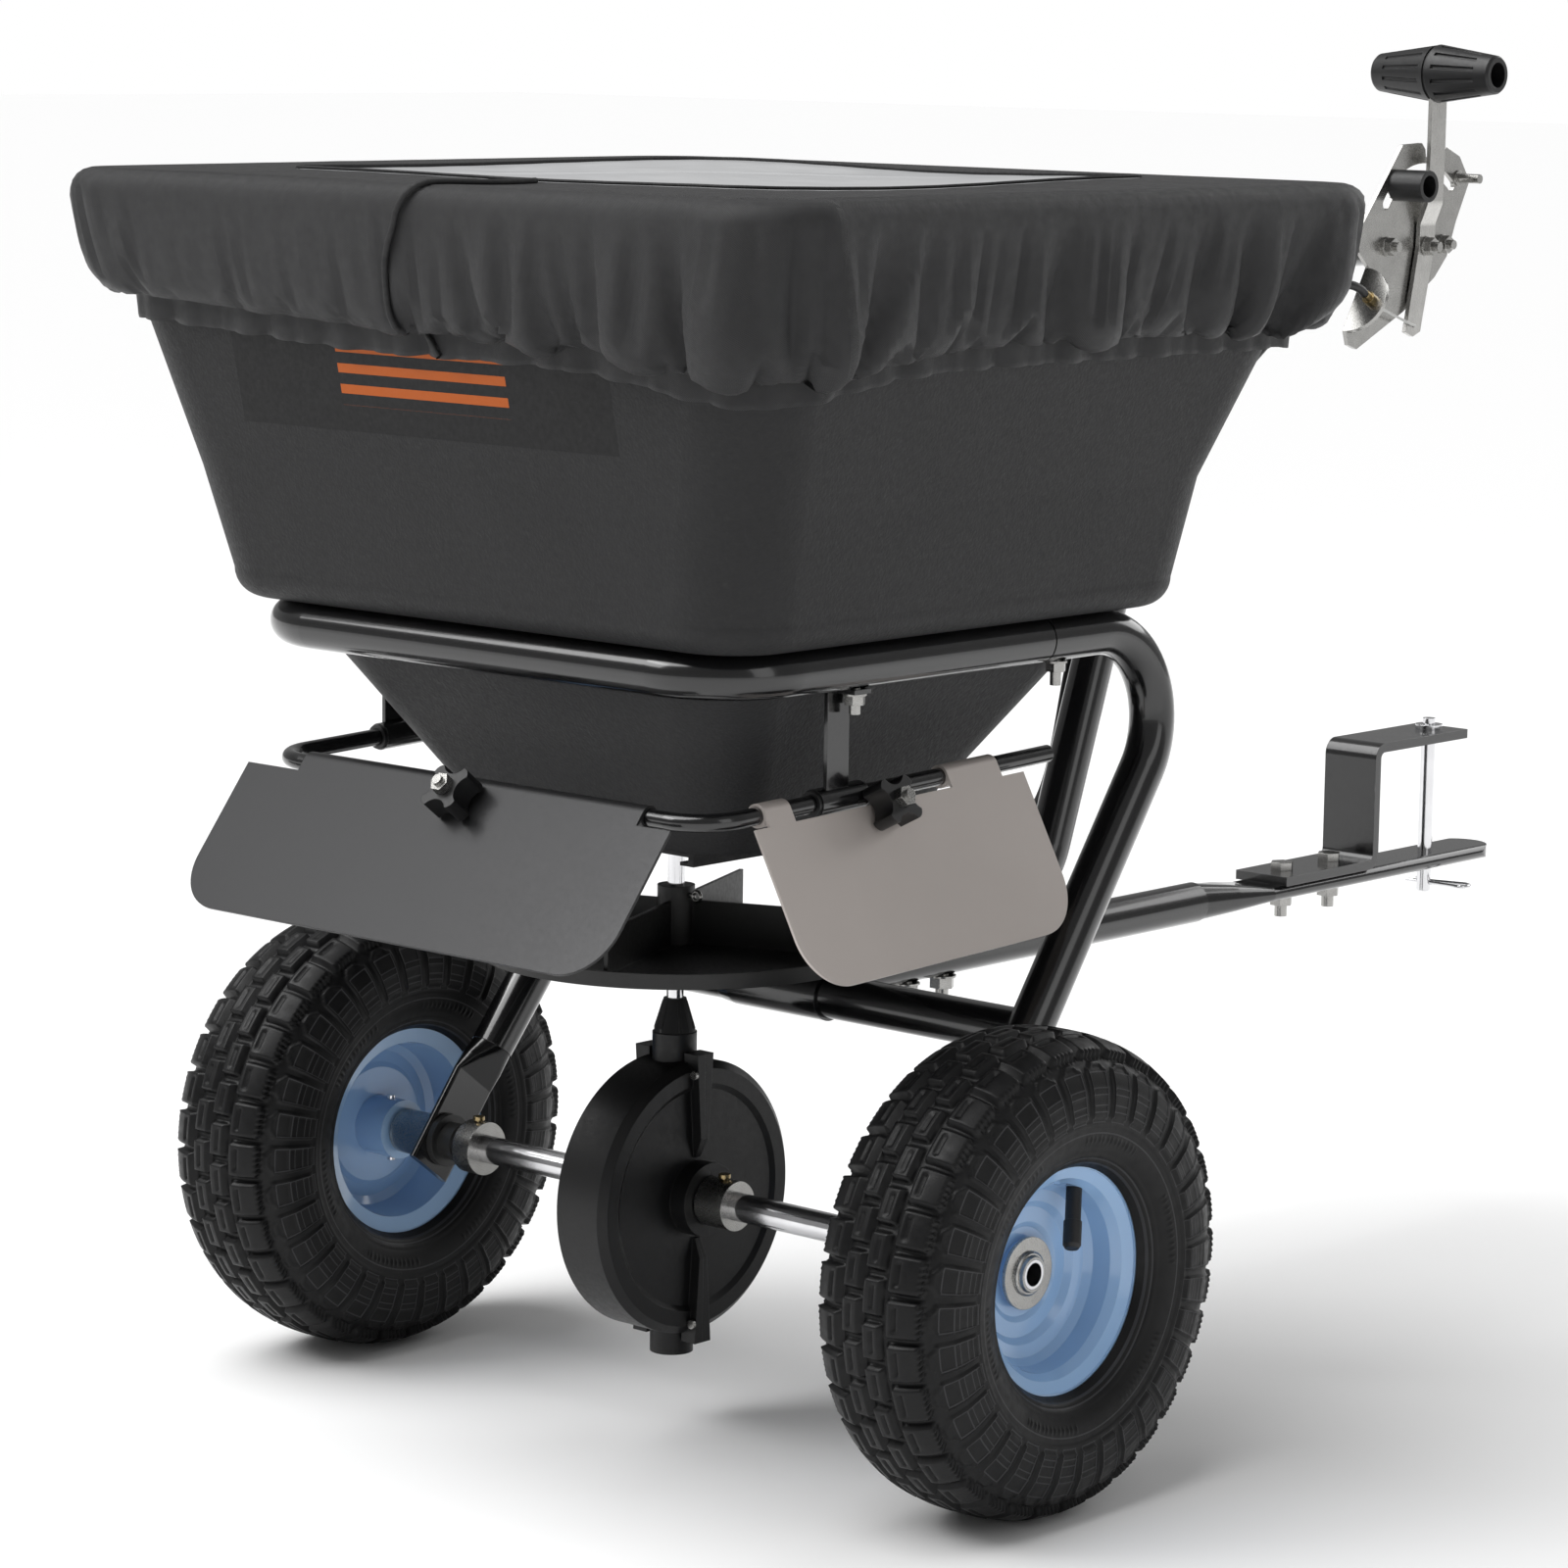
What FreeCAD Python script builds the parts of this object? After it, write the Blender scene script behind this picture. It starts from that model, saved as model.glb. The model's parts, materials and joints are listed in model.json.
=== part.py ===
import FreeCAD, Part
import math
import os

# Tow-behind broadcast spreader. Millimetres, +X to the right, +Y towards the tractor,
# +Z up. The origin lies on the ground, below the axle and midway between the wheels.

V = FreeCAD.Vector
X_DIR = V(1, 0, 0)
Y_DIR = V(0, 1, 0)
Z_DIR = V(0, 0, 1)

os.makedirs("parts", exist_ok=True)

# driving dimensions
TYRE_R = 130.0
TYRE_HALF = 42.8
TRACK_HALF = 247.6
AXLE_Z = TYRE_R
AXLE_R = 8.0
TUBE_R = 12.7
TUBE_WALL = 1.6
RUN_FIT = 0.05
SHAFT_X = -3.5
SHAFT_R = 4.75
TOW_Z = 236.0
LOOP_Z = 450.5
LOOP_HALF = 174.0
LOOP_REAR_Y = -155.0
LOOP_BEND_R = 45.0
JOINT_Y = 94.0
CROSS_Y = 84.0
POST_Z = TOW_Z + 2 * TUBE_R
BOLT_R = 3.0
BOLT_HOLE_R = 3.3
BIG_BOLT_R = 4.0
BIG_HOLE_R = 4.3


# ---------------------------------------------------------------- helpers

def cyl(x, y, z, r, length, direction=Z_DIR):
    return Part.makeCylinder(r, length, V(x, y, z), direction)


def ring(x, y, z, r_out, r_in, length, direction=Z_DIR):
    outer = cyl(x, y, z, r_out, length, direction)
    return outer.cut(cyl(x, y, z, r_in, length, direction))


def box(x0, x1, y0, y1, z0, z1):
    return Part.makeBox(x1 - x0, y1 - y0, z1 - z0, V(x0, y0, z0))


def group(solids):
    return Part.makeCompound(solids)


def joined(solids):
    whole = solids[0].multiFuse(solids[1:])
    return whole.removeSplitter()


def hexagon(x, y, z, across_flats, height, direction=Z_DIR):
    """A hexagonal prism whose foot is centred on x, y, z."""
    corner_r = across_flats / math.sqrt(3.0)
    points = []
    for k in range(7):
        angle = math.radians(60 * k)
        points.append(V(corner_r * math.cos(angle), corner_r * math.sin(angle), 0))
    prism = Part.Face(Part.makePolygon(points)).extrude(V(0, 0, height))
    prism.Placement = FreeCAD.Placement(V(x, y, z), FreeCAD.Rotation(Z_DIR, direction))
    return prism


def bolt(x, y, z, r, length, direction=Z_DIR):
    """A hex bolt: the underside of its head is at x, y, z and its shank runs along direction."""
    across = 3.3 * r
    head_height = 1.3 * r
    head = hexagon(x, y, z, across, head_height, direction * -1)
    shank = cyl(x, y, z, r, length, direction)
    return joined([head, shank])


def nut(x, y, z, r, direction=Z_DIR):
    """A hex nut with its washer face, seated at x, y, z."""
    across = 3.3 * r
    washer_height = 1.2
    body = joined([
        cyl(x, y, z, 2.1 * r, washer_height, direction),
        hexagon(x, y, z, across, washer_height + 1.6 * r, direction),
    ])
    return body.cut(cyl(x, y, z, r + RUN_FIT, 4 * r, direction))


def bent_path(points, radii):
    """A wire through straight runs, each inner corner rounded to its own radius."""
    edges = []
    start = points[0]
    for i in range(1, len(points) - 1):
        corner = points[i]
        into = (corner - points[i - 1]).normalize()
        away = (points[i + 1] - corner).normalize()
        turn = into.getAngle(away)
        reach = radii[i - 1] * math.tan(turn / 2)
        first = corner - into * reach
        last = corner + away * reach
        inward = (away - into).normalize()
        centre = corner + inward * (radii[i - 1] / math.cos(turn / 2))
        middle = centre - inward * radii[i - 1]
        if (first - start).Length > 0.01:
            edges.append(Part.LineSegment(start, first).toShape())
        edges.append(Part.Arc(first, middle, last).toShape())
        start = last
    edges.append(Part.LineSegment(start, points[-1]).toShape())
    return Part.Wire(edges)


def sweep(path, r):
    first = path.OrderedEdges[0]
    begin = first.valueAt(first.FirstParameter)
    tangent = first.tangentAt(first.FirstParameter)
    profile = Part.Wire([Part.Circle(begin, tangent, r).toShape()])
    return path.makePipeShell([profile], True, False)


def tube(path, r=TUBE_R, wall=TUBE_WALL):
    return sweep(path, r).cut(sweep(path, r - wall))


def revolved(points, centre, axis):
    """Turn a closed outline of (along, out) pairs about an axis through centre."""
    side = X_DIR if abs(axis.z) > 0.5 else Z_DIR
    corners = [centre + axis * along + side * out for along, out in points]
    face = Part.Face(Part.makePolygon(corners + [corners[0]]))
    return face.revolve(centre, axis, 360)


def rounded_loop(x0, x1, y0, y1, r, z):
    """A level rectangle with round corners, as a closed wire."""
    edges = []
    corners = [(x1 - r, y1 - r, 0), (x0 + r, y1 - r, 90), (x0 + r, y0 + r, 180), (x1 - r, y0 + r, 270)]
    ends = []
    for cx, cy, begin in corners:
        spots = []
        for angle in (begin, begin + 45, begin + 90):
            a = math.radians(angle)
            spots.append(V(cx + r * math.cos(a), cy + r * math.sin(a), z))
        edges.append(Part.Arc(*spots).toShape())
        ends.append(spots)
    for i in range(4):
        edges.append(Part.LineSegment(ends[i][2], ends[(i + 1) % 4][0]).toShape())
    return Part.Wire(Part.__sortEdges__(edges))


def lofted(wires):
    return Part.makeLoft(wires, True, True)


def mirrored(shape):
    return shape.mirror(V(0, 0, 0), X_DIR)


def save(name, shape):
    shape.exportStep("parts/" + name + ".step")


# ---------------------------------------------------------------- frame loop and legs

# The legs of the side frames lean back from the top corner down to the axle.
LEG_CORNER = V(LOOP_HALF, 244.8, LOOP_Z)
FOOT = V(188.0, 0.0, AXLE_Z)
LEG_BEND_R = 50.0
FOOT_HALF_WIDTH = 17.0
FOOT_THICK = 5.0
FLATTEN_START = 62.0
FLATTEN_END = 40.0
BUSH_R = 11.0
JOINT_GAP = 1.2
SPIGOT_LENGTH = 32.0
SPIGOT_BORE_R = 9.4
SPIGOT_NECK = 8.0

leg_direction = (FOOT - LEG_CORNER).normalize()
leg_stop = FOOT - leg_direction * FLATTEN_START
HOPPER_BOLT_Y = (-56.0, 110.0)


def loop_bolt_holes(r):
    holes = []
    for sign in (-1, 1):
        for y in HOPPER_BOLT_Y:
            holes.append(cyl(sign * LOOP_HALF, y, LOOP_Z - 30, r, 60))
    return holes


def make_rear_hoop():
    half = LOOP_HALF
    corners = [
        V(half, JOINT_Y, LOOP_Z),
        V(half, LOOP_REAR_Y, LOOP_Z),
        V(-half, LOOP_REAR_Y, LOOP_Z),
        V(-half, JOINT_Y, LOOP_Z),
    ]
    hoop = tube(bent_path(corners, [LOOP_BEND_R, LOOP_BEND_R]))
    spigot_r = TUBE_R - TUBE_WALL - RUN_FIT
    for sign in (-1, 1):
        neck = ring(sign * half, JOINT_Y - SPIGOT_NECK, LOOP_Z, TUBE_R - TUBE_WALL, SPIGOT_BORE_R,
                    SPIGOT_NECK, Y_DIR)
        spigot = ring(sign * half, JOINT_Y, LOOP_Z, spigot_r, SPIGOT_BORE_R, SPIGOT_LENGTH, Y_DIR)
        hoop = joined([hoop, neck, spigot])
    return hoop.cut(group(loop_bolt_holes(BOLT_HOLE_R)))


def flat_section(centre, half_width, half_thick, direction):
    """A round-ended section square to direction; its flat lies in the plane of the wheel."""
    across = direction.cross(X_DIR).normalize()
    normal = across.cross(direction).normalize()
    straight = half_width - half_thick
    a = centre + across * straight + normal * half_thick
    b = centre + across * half_width
    c = centre + across * straight - normal * half_thick
    d = centre - across * straight - normal * half_thick
    e = centre - across * half_width
    f = centre - across * straight + normal * half_thick
    return Part.Wire([
        Part.Arc(a, b, c).toShape(),
        Part.LineSegment(c, d).toShape(),
        Part.Arc(d, e, f).toShape(),
        Part.LineSegment(f, a).toShape(),
    ])


def make_side_frame_right():
    """Top rail, bend and leg in one tube, pressed flat at the foot to take the axle bush."""
    begin = V(LOOP_HALF, JOINT_Y + JOINT_GAP, LOOP_Z)
    leg = tube(bent_path([begin, LEG_CORNER, leg_stop], [LEG_BEND_R]))
    down = V(0, leg_direction.y, leg_direction.z).normalize()
    flat_top = FOOT - down * FLATTEN_END
    squeeze = lofted([
        flat_section(leg_stop, TUBE_R - 0.4, TUBE_R - 0.9, leg_direction),
        flat_section(leg_stop * 0.5 + flat_top * 0.5, 15.5, 7.0, leg_direction),
        flat_section(flat_top, FOOT_HALF_WIDTH, FOOT_THICK / 2, down),
    ])
    paddle_face = Part.Face(flat_section(flat_top, FOOT_HALF_WIDTH, FOOT_THICK / 2, down))
    paddle = paddle_face.extrude(down * (FLATTEN_END + 20.0))
    whole = joined([leg, squeeze, paddle])
    whole = whole.cut(cyl(FOOT.x - 10, 0, AXLE_Z, BUSH_R, 20, X_DIR))
    return whole.cut(group(loop_bolt_holes(BOLT_HOLE_R)))


def leg_envelope():
    """The leg's outer form, used to cope the tubes welded onto it."""
    begin = V(LOOP_HALF, JOINT_Y + JOINT_GAP, LOOP_Z)
    return sweep(bent_path([begin, LEG_CORNER, leg_stop], [LEG_BEND_R]), TUBE_R)


def make_cross_tube():
    reach = FOOT.x - 4.0
    bar = ring(-reach, CROSS_Y, TOW_Z, TUBE_R, TUBE_R - TUBE_WALL, 2 * reach, X_DIR)
    right_leg = leg_envelope()
    coped = bar.cut(right_leg).cut(mirrored(right_leg))
    middle = [s for s in coped.Solids if abs(s.CenterOfMass.x) < 20]
    return middle[0]


# ---------------------------------------------------------------- tow bar and hitch

SLEEVE_R = TUBE_R + 1.7
SLEEVE_HALF = 38.0
TONGUE_HALF_WIDTH = 19.0
TONGUE_HALF_THICK = 4.5
TONGUE_END_Y = 782.0
TONGUE_Z = TOW_Z - 1.0
FLAT_BEGIN_Y = 470.0
FLAT_END_Y = 532.0
POST_BOLT_Y = (194.0, 227.0)
HITCH_BOLT_Y = (564.0, 615.0)
PIN_Y = 724.0
PIN_R = 4.76
BRACKET_THICK = 6.0
BRACKET_HALF_WIDTH = 20.0
BRACKET_REAR_Y = 542.0
BRACKET_UPRIGHT_Y = 636.0
BRACKET_FRONT_Y = 740.0
BRACKET_TOP_Z = 321.0
BRACKET_BEND_R = 4.0
TONGUE_TOP_Z = TONGUE_Z + TONGUE_HALF_THICK


def make_tow_sleeve():
    """The short tube that grips the cross tube; its ends taper down to it."""
    taper = 9.0
    outline = [
        (-SLEEVE_HALF, TUBE_R),
        (-SLEEVE_HALF, TUBE_R + 0.6),
        (-SLEEVE_HALF + taper, SLEEVE_R),
        (SLEEVE_HALF, SLEEVE_R),
        (SLEEVE_HALF, TUBE_R),
    ]
    return revolved(outline, V(0, CROSS_Y, TOW_Z), X_DIR)


def tow_section(y, half_width, half_thick, z):
    """An upright section across the tow bar, from round tube to flat tongue."""
    straight = half_width - half_thick
    a = V(straight, y, z + half_thick)
    b = V(half_width, y, z)
    c = V(straight, y, z - half_thick)
    d = V(-straight, y, z - half_thick)
    e = V(-half_width, y, z)
    f = V(-straight, y, z + half_thick)
    return Part.Wire([
        Part.Arc(a, b, c).toShape(),
        Part.LineSegment(c, d).toShape(),
        Part.Arc(d, e, f).toShape(),
        Part.LineSegment(f, a).toShape(),
    ])


def make_tow_bar():
    pipe_length = FLAT_BEGIN_Y - CROSS_Y
    pipe = ring(0, CROSS_Y, TOW_Z, TUBE_R, TUBE_R - TUBE_WALL, pipe_length, Y_DIR)
    middle_y = (FLAT_BEGIN_Y + FLAT_END_Y) / 2
    squeeze = lofted([
        tow_section(FLAT_BEGIN_Y, TUBE_R - 0.4, TUBE_R - 0.9, TOW_Z),
        tow_section(middle_y, 15.8, 8.6, TOW_Z - 0.5),
        tow_section(FLAT_END_Y, TONGUE_HALF_WIDTH, TONGUE_HALF_THICK, TONGUE_Z),
    ])
    flat = Part.Face(tow_section(FLAT_END_Y, TONGUE_HALF_WIDTH, TONGUE_HALF_THICK, TONGUE_Z))
    tongue = flat.extrude(V(0, TONGUE_END_Y - FLAT_END_Y, 0))
    nose_centre_y = TONGUE_END_Y - TONGUE_HALF_WIDTH
    nose = joined([
        cyl(0, nose_centre_y, TONGUE_Z - 10, TONGUE_HALF_WIDTH, 20),
        box(-30, 30, FLAT_END_Y - 1, nose_centre_y, TONGUE_Z - 10, TONGUE_Z + 10),
    ])
    bar = joined([pipe, squeeze, tongue.common(nose)])
    cuts = [cyl(-60, CROSS_Y, TOW_Z, SLEEVE_R, 120, X_DIR)]
    for y in POST_BOLT_Y:
        cuts.append(cyl(0, y, TOW_Z - 20, BIG_HOLE_R, 40))
    for y in HITCH_BOLT_Y:
        cuts.append(cyl(0, y, TOW_Z - 20, BIG_HOLE_R, 40))
    cuts.append(cyl(0, PIN_Y, TOW_Z - 20, PIN_R + RUN_FIT, 40))
    return bar.cut(group(cuts))


def make_hitch_bracket():
    """Flat bar bent twice: it lies on the tongue, stands up and reaches over the pin."""
    t = BRACKET_THICK
    low = TONGUE_TOP_Z
    middle = [
        V(0, BRACKET_REAR_Y, low + t / 2),
        V(0, BRACKET_UPRIGHT_Y + t / 2, low + t / 2),
        V(0, BRACKET_UPRIGHT_Y + t / 2, BRACKET_TOP_Z - t / 2),
        V(0, BRACKET_FRONT_Y, BRACKET_TOP_Z - t / 2),
    ]
    path = bent_path(middle, [BRACKET_BEND_R + t / 2, BRACKET_BEND_R + t / 2])
    face = path.makeOffset2D(t / 2, 2, True, False)
    strip = face.extrude(V(2 * BRACKET_HALF_WIDTH, 0, 0))
    strip.translate(V(-BRACKET_HALF_WIDTH, 0, 0))
    low_box = box(-50, 50, BRACKET_REAR_Y, 900, low - 1, BRACKET_TOP_Z + 10)
    strip = strip.common(low_box).common(box(-50, 50, 500, BRACKET_FRONT_Y, low - 1, BRACKET_TOP_Z + 10))
    cuts = [cyl(0, y, low - 5, BIG_HOLE_R, 20) for y in HITCH_BOLT_Y]
    cuts.append(cyl(0, PIN_Y, BRACKET_TOP_Z - 20, PIN_R + RUN_FIT, 40))
    return strip.cut(group(cuts))


def make_hitch_bolts():
    seat = TONGUE_TOP_Z + BRACKET_THICK
    return group([bolt(0, y, seat, BIG_BOLT_R, 30, Z_DIR * -1) for y in HITCH_BOLT_Y])


def make_post_bolts():
    seat = POST_Z + TUBE_R
    return group([bolt(0, y, seat, BIG_BOLT_R, 66, Z_DIR * -1) for y in POST_BOLT_Y])


def make_m8_nuts():
    below_tongue = TONGUE_Z - TONGUE_HALF_THICK
    below_tube = TOW_Z - TUBE_R
    nuts = [nut(0, y, below_tongue, BIG_BOLT_R, Z_DIR * -1) for y in HITCH_BOLT_Y]
    nuts += [nut(0, y, below_tube, BIG_BOLT_R, Z_DIR * -1) for y in POST_BOLT_Y]
    return group(nuts)


PIN_TIP_Z = 212.0
CLIP_Z = 218.0
CLIP_R = 1.2


def make_hitch_pin():
    shank = cyl(0, PIN_Y, PIN_TIP_Z, PIN_R, BRACKET_TOP_Z - PIN_TIP_Z)
    chamfer = shank.makeChamfer(1.0, [shank.Edges[2]])
    head = cyl(0, PIN_Y, BRACKET_TOP_Z, 9.0, 3.0)
    stem = cyl(0, PIN_Y, BRACKET_TOP_Z + 3.0, 4.2, 4.0)
    pin = joined([chamfer if chamfer.isValid() else shank, head, stem])
    return pin.cut(cyl(-10, PIN_Y, CLIP_Z, CLIP_R + RUN_FIT, 20, X_DIR))


def make_hitch_clip():
    """A spring wire clip: one straight leg through the pin, one wavy leg round its outside."""
    straight = Part.LineSegment(V(-14, PIN_Y, CLIP_Z), V(24, PIN_Y, CLIP_Z)).toShape()
    eye = Part.Arc(V(24, PIN_Y, CLIP_Z), V(31, PIN_Y + 6, CLIP_Z), V(24, PIN_Y + 12, CLIP_Z)).toShape()
    waist = Part.Arc(V(24, PIN_Y + 12, CLIP_Z), V(15, PIN_Y + 9.5, CLIP_Z), V(8, PIN_Y + 7.5, CLIP_Z))
    hug = Part.Arc(V(8, PIN_Y + 7.5, CLIP_Z), V(0, PIN_Y + 6.2, CLIP_Z), V(-12, PIN_Y + 10, CLIP_Z))
    path = Part.Wire([straight, eye, waist.toShape(), hug.toShape()])
    profile = Part.Wire([Part.Circle(V(-14, PIN_Y, CLIP_Z), X_DIR, CLIP_R).toShape()])
    return path.makePipeShell([profile], True, False, 2)


# ---------------------------------------------------------------- control post and lever

POST_REAR_Y = 172.0
POST_LEAN_FOOT_Y = 315.6
POST_TOP_Y = 449.0
POST_TOP_Z = 641.0
POST_FRONT_Y = 709.0
PLATE_X = TUBE_R
PLATE_THICK = 3.0
PIVOT = V(0, 674.0, 640.5)
TUBE_BOLT_Y = (636.0, 697.0)
SLOT_R = 49.0
SLOT_HALF_WIDTH = 3.6
KNOB_ANGLE = 37.0
STUD_Y = 713.0
STUD_Z = 683.0
LEVER_X = PLATE_X + PLATE_THICK + 1.0
LEVER_THICK = 3.0
LEVER_HALF_WIDTH = 8.0
LEVER_TOP_X = LEVER_X + 5.0
GRIP_Z = 750.0
CABLE_HOLE_Y = 662.0
CABLE_HOLE_Z = 590.0


def make_handle_post():
    corners = [
        V(0, POST_REAR_Y, POST_Z),
        V(0, POST_LEAN_FOOT_Y, POST_Z),
        V(0, POST_TOP_Y, POST_TOP_Z),
        V(0, POST_FRONT_Y, POST_TOP_Z),
    ]
    post = tube(bent_path(corners, [42.0, 60.0]))
    cuts = [cyl(0, y, POST_Z - 20, BIG_HOLE_R, 40) for y in POST_BOLT_Y]
    cuts += [cyl(-20, y, POST_TOP_Z, BOLT_HOLE_R, 40, X_DIR) for y in TUBE_BOLT_Y]
    cuts.append(cyl(-20, PIVOT.y, PIVOT.z, BOLT_HOLE_R, 40, X_DIR))
    return post.cut(group(cuts))


def arc_spot(angle, r):
    """A point at radius r from the lever's pivot; the angle leans back from straight up."""
    a = math.radians(angle)
    return V(0, PIVOT.y - r * math.sin(a), PIVOT.z + r * math.cos(a))


def slot_cutter(x0, length):
    first = -40.0
    last = 56.0
    middle = (first + last) / 2
    out_r = SLOT_R + SLOT_HALF_WIDTH
    in_r = SLOT_R - SLOT_HALF_WIDTH
    edges = [
        Part.Arc(arc_spot(first, out_r), arc_spot(middle, out_r), arc_spot(last, out_r)).toShape(),
        Part.LineSegment(arc_spot(last, out_r), arc_spot(last, in_r)).toShape(),
        Part.Arc(arc_spot(last, in_r), arc_spot(middle, in_r), arc_spot(first, in_r)).toShape(),
        Part.LineSegment(arc_spot(first, in_r), arc_spot(first, out_r)).toShape(),
    ]
    face = Part.Face(Part.Wire(edges))
    face.translate(V(x0, 0, 0))
    body = face.extrude(V(length, 0, 0))
    ends = []
    for angle in (first, last):
        spot = arc_spot(angle, SLOT_R)
        ends.append(cyl(x0, spot.y, spot.z, SLOT_HALF_WIDTH, length, X_DIR))
    return joined([body] + ends)


# The half-round flap that stops the cable's sheath: its fold line and its outward side.
FLAP_TOP = V(0, 617.0, 628.0)
FLAP_LOW = V(0, 594.0, 589.0)
flap_line = (FLAP_LOW - FLAP_TOP).normalize()
cable_line = V(0, -flap_line.z, flap_line.y)
FLAP_MIDDLE = (FLAP_TOP + FLAP_LOW) * 0.5
CABLE_X = 26.0


def make_lever_bracket():
    x0 = PLATE_X
    rim = [
        V(x0, 650, 705), V(x0, 671, 706), V(x0, 675, 702), V(x0, 676, 697), V(x0, 694, 697),
        V(x0, 699, 703), V(x0, 714, 697), V(x0, 726, 681), V(x0, 712, 655), V(x0, 703, 633),
        V(x0, 690, 620), V(x0, 656, 599), V(x0, 606, 577), V(x0, 597, 580),
        V(x0, FLAP_LOW.y, FLAP_LOW.z), V(x0, FLAP_TOP.y, FLAP_TOP.z), V(x0, 606, 638),
        V(x0, 604, 650), V(x0, 641, 694),
    ]
    plate = Part.Face(Part.makePolygon(rim + [rim[0]])).extrude(V(PLATE_THICK, 0, 0))
    half_length = (FLAP_LOW - FLAP_TOP).Length / 2
    disc = Part.makeCylinder(half_length, PLATE_THICK, FLAP_MIDDLE + V(x0 + 1, 0, 0), cable_line)
    outer_half = box(x0 + 1, x0 + 60, 560, 660, 560, 660)
    flap = disc.common(outer_half)
    bracket = joined([plate, flap])
    cuts = [cyl(x0 - 1, y, POST_TOP_Z, BOLT_HOLE_R, 10, X_DIR) for y in TUBE_BOLT_Y]
    cuts.append(cyl(x0 - 1, PIVOT.y, PIVOT.z, BOLT_R + RUN_FIT, 10, X_DIR))
    cuts.append(slot_cutter(x0 - 1, 10))
    cuts.append(cyl(x0 - 1, STUD_Y, STUD_Z, 3.0, 10, X_DIR))
    hole = FLAP_MIDDLE + V(CABLE_X, 0, 0) - cable_line * 10
    cuts.append(Part.makeCylinder(3.0, 30, hole, cable_line))
    return bracket.cut(group(cuts))


def make_bracket_bolts():
    """Three bolts through the tube's end, heads on the far side; the middle one is the pivot."""
    bolts = [bolt(-TUBE_R, y, POST_TOP_Z, BOLT_R, 38, X_DIR) for y in TUBE_BOLT_Y]
    pivot = bolt(-TUBE_R, PIVOT.y, PIVOT.z, BOLT_R, 43, X_DIR)
    collar = ring(PLATE_X + PLATE_THICK, PIVOT.y, PIVOT.z, 5.0, BOLT_R - 0.5, 0.9, X_DIR)
    bolts.append(joined([pivot, collar]))
    return group(bolts)


def make_bracket_stud():
    x0 = PLATE_X
    body = joined([
        cyl(x0, STUD_Y, STUD_Z, 3.0, PLATE_THICK + 17, X_DIR),
        cyl(x0 + PLATE_THICK, STUD_Y, STUD_Z, 5.0, 1.2, X_DIR),
    ])
    return body


def lever_strip():
    """The lever's side view along Y: a straight foot, an outward jog and a straight top."""
    low = CABLE_HOLE_Z - 7
    half = LEVER_THICK / 2
    path = bent_path(
        [
            V(LEVER_X + half, 0, low),
            V(LEVER_X + half, 0, 655),
            V(LEVER_TOP_X + half, 0, 668),
            V(LEVER_TOP_X + half, 0, GRIP_Z + 12),
        ],
        [8.0, 8.0],
    )
    face = path.makeOffset2D(half, 2, True, False)
    strip = face.extrude(V(0, 200, 0))
    strip.translate(V(0, 600, 0))
    return strip


def make_control_lever():
    """A flat bar: its outline in the plane of swing crossed with its jogged side view."""
    w = LEVER_HALF_WIDTH
    top_y = 676.0
    side = [
        V(0, CABLE_HOLE_Y - w, CABLE_HOLE_Z - 4), V(0, CABLE_HOLE_Y, CABLE_HOLE_Z - 7),
        V(0, CABLE_HOLE_Y + w, CABLE_HOLE_Z - 4), V(0, PIVOT.y + w + 1, PIVOT.z),
        V(0, top_y + w, 700), V(0, top_y + w, GRIP_Z + 12),
        V(0, top_y - w, GRIP_Z + 12), V(0, top_y - w, 700), V(0, PIVOT.y - w, PIVOT.z),
    ]
    outline = Part.Face(Part.makePolygon(side + [side[0]])).extrude(V(60, 0, 0))
    bar = outline.common(lever_strip())
    cuts = [
        cyl(LEVER_X - 5, PIVOT.y, PIVOT.z, BOLT_R + RUN_FIT, 20, X_DIR),
        cyl(LEVER_X - 5, CABLE_HOLE_Y, CABLE_HOLE_Z, 1.3, 20, X_DIR),
    ]
    return bar.cut(group(cuts))


def make_lever_grip():
    """A ribbed handle across the lever, thick in the middle and open at both ends."""
    middle_x = LEVER_TOP_X + LEVER_THICK / 2
    half_length = 45.0
    outline = [
        (-half_length, 8.0), (-half_length, 11.0), (-half_length + 1.5, 12.2), (-1.2, 18.0),
        (-1.2, 17.0), (1.2, 17.0), (1.2, 18.5), (half_length - 1.5, 12.2),
        (half_length, 11.0), (half_length, 8.0), (14.0, 8.0), (14.0, 0.0), (-14.0, 0.0), (-14.0, 8.0),
    ]
    centre = V(middle_x, 676.0, GRIP_Z)
    grip = revolved(outline, centre, X_DIR)
    grooves = []
    for side in (-1, 1):
        for k in range(12):
            a = math.radians(30 * k + 15)
            depth = 17.5
            spot = V(0, depth * math.cos(a), depth * math.sin(a))
            slope = V(side * 0.99, -0.13 * math.cos(a), -0.13 * math.sin(a))
            start = centre + spot + V(side * 5.0, 0, 0)
            grooves.append(Part.makeCylinder(1.3, 30, start, slope))
    grip = grip.cut(group(grooves))
    slot = box(LEVER_TOP_X, LEVER_TOP_X + LEVER_THICK, 676 - LEVER_HALF_WIDTH, 676 + LEVER_HALF_WIDTH,
               GRIP_Z - 30, GRIP_Z + 12)
    return grip.cut(slot)


STOP_KNOB_R = 10.0
knob_spot = arc_spot(KNOB_ANGLE, SLOT_R)
STOP_KNOB_X = PLATE_X + PLATE_THICK
STOP_KNOB_LENGTH = 25.0


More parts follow.
